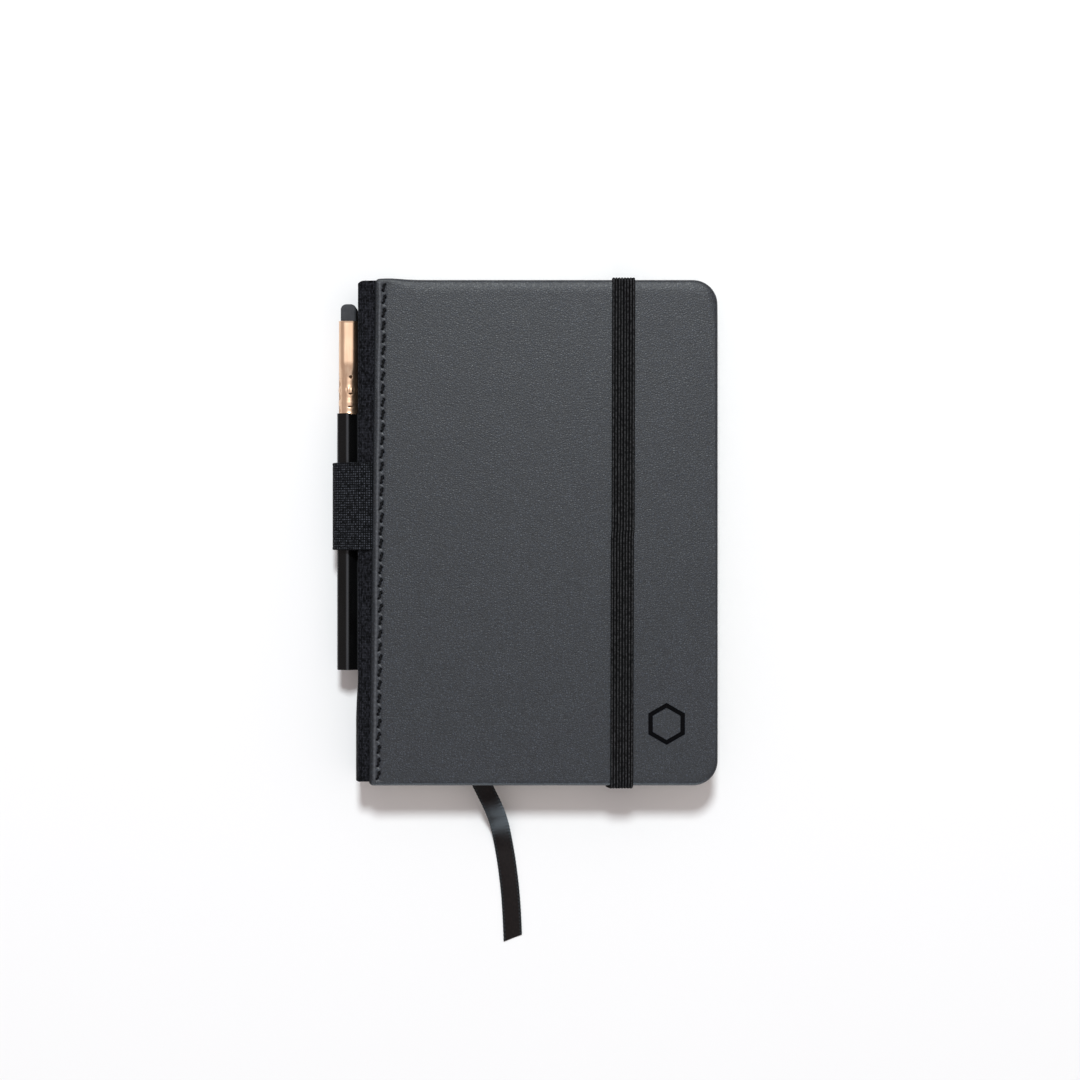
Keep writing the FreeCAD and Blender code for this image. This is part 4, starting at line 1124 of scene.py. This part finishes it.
BAND_HALF = 0.40 * MM
RIB_HIGH = 0.28 * MM
BAND_TURN = 0.45 * MM
HEAD_SLACK = 0.22 * MM
ANCHOR_Z = 2.3 * MM
BAND_LEAN = 0.20 * MM
BAND_SLIP = 1.5 * MM


def band_section():
    """Both faces are ribbed lengthwise, every second valley is deeper, and the edges are round."""
    steps = BAND_RIBS * 8
    top = []
    for k in range(steps + 1):
        across = lerp(-BAND_WIDE / 2, BAND_WIDE / 2, k / steps)
        wave = abs(sin(pi * BAND_RIBS * k / steps)) ** 0.6
        pair = 0.72 + 0.28 * abs(sin(pi * BAND_RIBS * k / steps / 2)) ** 0.5
        edge = 0.04 * MM if k in (0, steps) else 0.0
        top.append((across, BAND_HALF - RIB_HIGH + RIB_HIGH * wave * pair - edge))
    return both_faces(top)


def make_band():
    middle = (strap_high.x + strap_low.x) / 2
    side = strap_high.y - BAND_TURN
    head = side - HEAD_SLACK
    front = strap_high.z - 0.42 * MM
    back = strap_low.z + 0.37 * MM
    anchor = SLOT_Y + BAND_TURN
    line = rounded_line([
        (anchor, ANCHOR_Z, 0),
        (anchor, back, 0.45 * MM),
        (head, back, 0.9 * MM),
        (head, front, 1.4 * MM),
        (-side, front, 1.4 * MM),
        (-side, back, 0.9 * MM),
        (-anchor, back, 0.45 * MM),
        (-anchor, ANCHOR_Z, 0),
    ], 8)
    line = divide(line, 2 * MM)

    def place(y, z):
        lean = BAND_LEAN * y / side * ramp(z, 2 * MM, 8 * MM)
        slip = BAND_SLIP * float(hill(z - 11.0 * MM, 4.0 * MM)) if y < 0 else 0.0
        return Vector((middle + lean - slip, y, z))

    frames = plane_frames(line, ACROSS_X, place)
    band = new_piece("elastic_band", sweep(frames, band_section()), [ELASTIC], None,
                     ["elastic_strap", "elastic_end_head", "elastic_end_tail"], 80)
    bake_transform(band)


make_band()


# Pencil loop

LOOP_THICK = 0.85 * MM
LOOP_WIDER = 0.3 * MM
LOOP_BEND = 1.325 * MM
LOOP_ROUND = 4.275 * MM
BEND_X = -51.7 * MM
BEND_Z = 1.85 * MM


def loop_section(low_y, high_y):
    """Webbing with a slightly thicker selvedge at both edges."""
    half = LOOP_THICK / 2
    profile = [(0.0, 0.4), (0.12 * MM, 0.85), (0.40 * MM, 1.05), (0.75 * MM, 0.95), (1.0 * MM, 0.80),
               (1.25 * MM, 0.95)]
    top = [(low_y + a, half * u) for a, u in profile]
    top += [(lerp(low_y, high_y, k / 8), half * 0.9) for k in range(1, 8)]
    top += [(high_y - a, half * u) for a, u in reversed(profile)]
    return both_faces(top)


def make_loop():
    low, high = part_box("pencil_loop")
    upper, lower, pencil = (BEND_X, TOP - BEND_Z), (BEND_X, BEND_Z), (PENCIL_X, MIDDLE)
    gap = dist(upper, pencil)
    heading = degrees(atan2(pencil[1] - upper[1], pencil[0] - upper[0]))
    tangent = (heading - degrees(acos((LOOP_BEND - LOOP_ROUND) / gap))) % 360
    run_z = TOP - 0.525 * MM
    line = [(-47.7 * MM, run_z - 0.70 * MM), (-48.3 * MM, run_z - 0.55 * MM),
            (-49.0 * MM, run_z - 0.15 * MM), (-49.7 * MM, run_z)]
    line += arc(upper, LOOP_BEND, 90, tangent, 6)
    line += arc(pencil, LOOP_ROUND, tangent, 360 - tangent, 24)
    line += arc(lower, LOOP_BEND, 360 - tangent, 270, 6)
    line += [(x, TOP - z) for x, z in reversed(line[:4])]
    frames = plane_frames(divide(line, 0.8 * MM))
    section = loop_section(low.y - LOOP_WIDER, high.y + LOOP_WIDER)
    new_piece("woven_loop", sweep(frames, section), [WEBBING], "back_cover",
              ["pencil_loop"], 80)


make_loop()


# Pencil

CORNER_ROUND = 0.85 * MM
HALF_FLATS = 3.2 * MM
CORE = 1.1 * MM
TENON = 2.85 * MM
pencil_low, pencil_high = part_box("casing_left")
FERRULE_LOW, FERRULE_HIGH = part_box("ferrule")


def hexagon_ring(flats, corner_round, steps=5):
    """A hexagon that stands on a corner, with rounded corners, as (x, z) offsets."""
    centre_out = (flats / 2 - corner_round) / cos(radians(30))
    ring = []
    for corner in range(90, 450, 60):
        ring += arc(polar(centre_out, corner), corner_round, corner - 30, corner + 30, steps)
    return ring


def round_ring(radius, like):
    """A circle whose points lie in the directions of another ring's points."""
    return [polar(radius, degrees(atan2(z, x))) for x, z in like]


def place_rings(rings, centre_x):
    """Points of (y, ring) set round the pencil's height."""
    return [Vector((centre_x + x, y, MIDDLE + z)) for y, ring in rings for x, z in ring]


def make_casing():
    """Lacquered hexagon casing with a bare end face, its turned tenon in the ferrule, and the bore."""
    outer = hexagon_ring(pencil_high.x - pencil_low.x + HALF_FLATS, CORNER_ROUND)
    bore, tenon = round_ring(CORE, outer), round_ring(TENON, outer)
    end, shoulder, tip = pencil_low.y, FERRULE_LOW.y + 0.3 * MM, pencil_high.y

    def shrunk(by):
        return [(x * by, z * by) for x, z in outer]

    rings = [(end + 0.02 * MM, bore), (end, shrunk(0.955)), (end + 0.05 * MM, shrunk(0.985))]
    rings += [(end + 0.2 * MM, outer)]
    rings += [(lerp(end, shoulder, k / 10), outer) for k in range(1, 11)]
    rings += [(shoulder + 0.1 * MM, tenon), (tip, tenon), (tip, bore)]
    count, total = len(outer), len(rings)
    skin = (place_rings(rings, PENCIL_X), ring_faces(total, count, closed=True), [])
    bare = list(range(count)) + list(range(count * (total - 3), count * total))
    new_piece("pencil_casing", skin, [LACQUER, WOOD], "pencil",
              ["casing_left", "casing_right"], 50, bare)


def oval_ring(half_x, half_z, corner, count=64):
    """A rounded rectangle; with both halves equal to the corner it is a circle."""
    ring = []
    for k in range(count):
        c, s = polar(1, 360 * (k + 0.5) / count)
        x = copysign(half_x - corner, c) + corner * c
        z = copysign(half_z - corner, s) + corner * s
        ring.append((x, z))
    return ring


FERRULE_ROUND = 3.2 * MM
NECK_START, NECK_END = 45.0 * MM, 50.5 * MM
FERRULE_FLAT = 2.92 * MM
HEAD_SHIFT = 0.28 * MM
FERRULE_POINTS = 96
ERASER_WORN = 1.7 * MM
BANDS = ((36.0 * MM, -0.6), (38.2 * MM, 0.9), (40.0 * MM, -0.8), (42.0 * MM, 0.9), (43.8 * MM, -0.7))
PUNCHES = ((45.9 * MM, 0.16 * MM, 9, 0.44 * MM), (40.9 * MM, 0.14 * MM, 11, 0.30 * MM),
           (37.1 * MM, 0.14 * MM, 15, 0.24 * MM))
PUNCH_AROUND = (78, 168, 258, 348)
SHEET_WALL = 0.25 * MM
DARK_DENT = 0.16
CRIMPS = 20
CRIMP_DEEP = 0.05 * MM
CRIMP_Y = 42.0 * MM


def ferrule_ring(y, grow):
    """Section of the ferrule at y: round below, flattened above, with rolled bands and punched dents."""
    flat = ramp(y, NECK_START, NECK_END - NECK_START)
    half_x = lerp(FERRULE_ROUND, FERRULE_FLAT, flat)
    half_z = lerp(FERRULE_ROUND, (FERRULE_HIGH.z - FERRULE_LOW.z) / 2, flat)
    corner = lerp(FERRULE_ROUND, 2.0 * MM, flat)
    band = sum(0.075 * MM * sign * exp(-((y - at) / (0.6 * MM)) ** 2) for at, sign in BANDS)
    lip = 0.10 * MM * exp(-((y - FERRULE_LOW.y) / (0.4 * MM)) ** 2)
    lip += 0.16 * MM * exp(-((y - FERRULE_HIGH.y) / (0.22 * MM)) ** 2)
    crimped = exp(-((y - CRIMP_Y) / (0.7 * MM)) ** 4)
    ring = []
    for x, z in oval_ring(half_x, half_z, corner, FERRULE_POINTS):
        length = hypot(x, z)
        angle = degrees(atan2(z, x)) % 360
        dent = sum(punch(angle, y, *spot) * spot[1] for spot in PUNCHES)
        crimp = CRIMP_DEEP * crimped * cos(radians(angle * CRIMPS))
        out = length + band + lip + crimp - dent - 0.10 * MM + grow
        ring.append((x * out / length, z * out / length))
    return ring


def punch(angle, y, at, _, spread, tall):
    """How far a point lies in one of the punched dents at a height: 1 in its middle."""
    away = min(min(abs(angle - around), 360 - abs(angle - around)) for around in PUNCH_AROUND)
    return exp(-(away / spread) ** 2 - ((y - at) / tall) ** 2)


def make_ferrule():
    low, high = FERRULE_LOW.y, FERRULE_HIGH.y
    steps = 180
    walls = [(lerp(low, high, k / steps), 0.0) for k in range(steps + 1)]
    walls += [(high + 0.08 * MM, -0.1 * MM), (high, -SHEET_WALL)]
    walls += [(lerp(high, low, k / 20), -SHEET_WALL) for k in range(1, 21)]
    rings = [(y, ferrule_ring(min(y, high), grow)) for y, grow in walls]
    punched = []
    for (y, grow), (_, ring) in zip(walls, rings):
        for x, z in ring:
            angle = degrees(atan2(z, x)) % 360
            punched.append(max(punch(angle, y, *spot) for spot in PUNCHES) if grow == 0.0 else 0.0)
    faces = ring_faces(len(rings), FERRULE_POINTS, closed=True)
    # painted shade: faces in the middle of each punched dent take the dark metal
    dents = [k for k, face in enumerate(faces) if min(punched[j] for j in face) > DARK_DENT]
    skin = (place_rings(rings, PENCIL_X + HEAD_SHIFT), faces, [])
    new_piece("crimped_ferrule", skin, [GOLD, DENT_SHADE], "pencil", ["ferrule"], 60, dents)


def make_eraser():
    """A flat block of rubber, worn round at its top."""
    low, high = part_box("eraser")
    half_x, half_z = (high.x - low.x) / 2 - 0.05 * MM, (high.z - low.z) / 2
    bottom, top = low.y, high.y - 0.4 * MM
    walls = [(bottom, 0.4 * MM), (bottom + 0.3 * MM, 0.0)]
    walls += [(lerp(bottom, top - ERASER_WORN, k / 8), 0.0) for k in range(1, 9)]
    for k in range(1, 8):
        less, up = polar(ERASER_WORN, 90 * k / 7)
        walls.append((top - ERASER_WORN + up, ERASER_WORN - less))
    walls.append((top, 2.0 * MM))
    count = 48
    rings = [(y, oval_ring(half_x - less, half_z - less, max(0.75 * MM - less * 0.3, 0.3 * MM), count))
             for y, less in walls]
    points = place_rings(rings, (high.x + low.x) / 2 + HEAD_SHIFT)
    faces = ring_faces(len(rings), count)
    faces += [tuple(range(count)), tuple(range(len(points) - count, len(points)))]
    new_piece("rubber_eraser", (points, faces, []), [RUBBER], "eraser", ["eraser"], 50)


make_casing()
make_ferrule()
make_eraser()


# CAD parts whose shape is right take a finish only

FINISHES = [
    (GREYBOARD, ["front_board", "back_board", "spine_board"]),
    (ENDPAPER, ["front_pastedown", "back_pastedown", "back_flyleaf"]),
    (GAUZE, ["spine_lining"]),
    (LINEN, ["sewing_thread"]),
    (SATIN, ["ribbon_inner", "ribbon_anchor"]),
    (GRAPHITE, ["graphite_core"]),
    (CLAMP, ["eraser_clamp"]),
]
for finish, nodes in FINISHES:
    for node in nodes:
        materials = frame["nodes"][node].data.materials
        materials.clear()
        materials.append(finish)
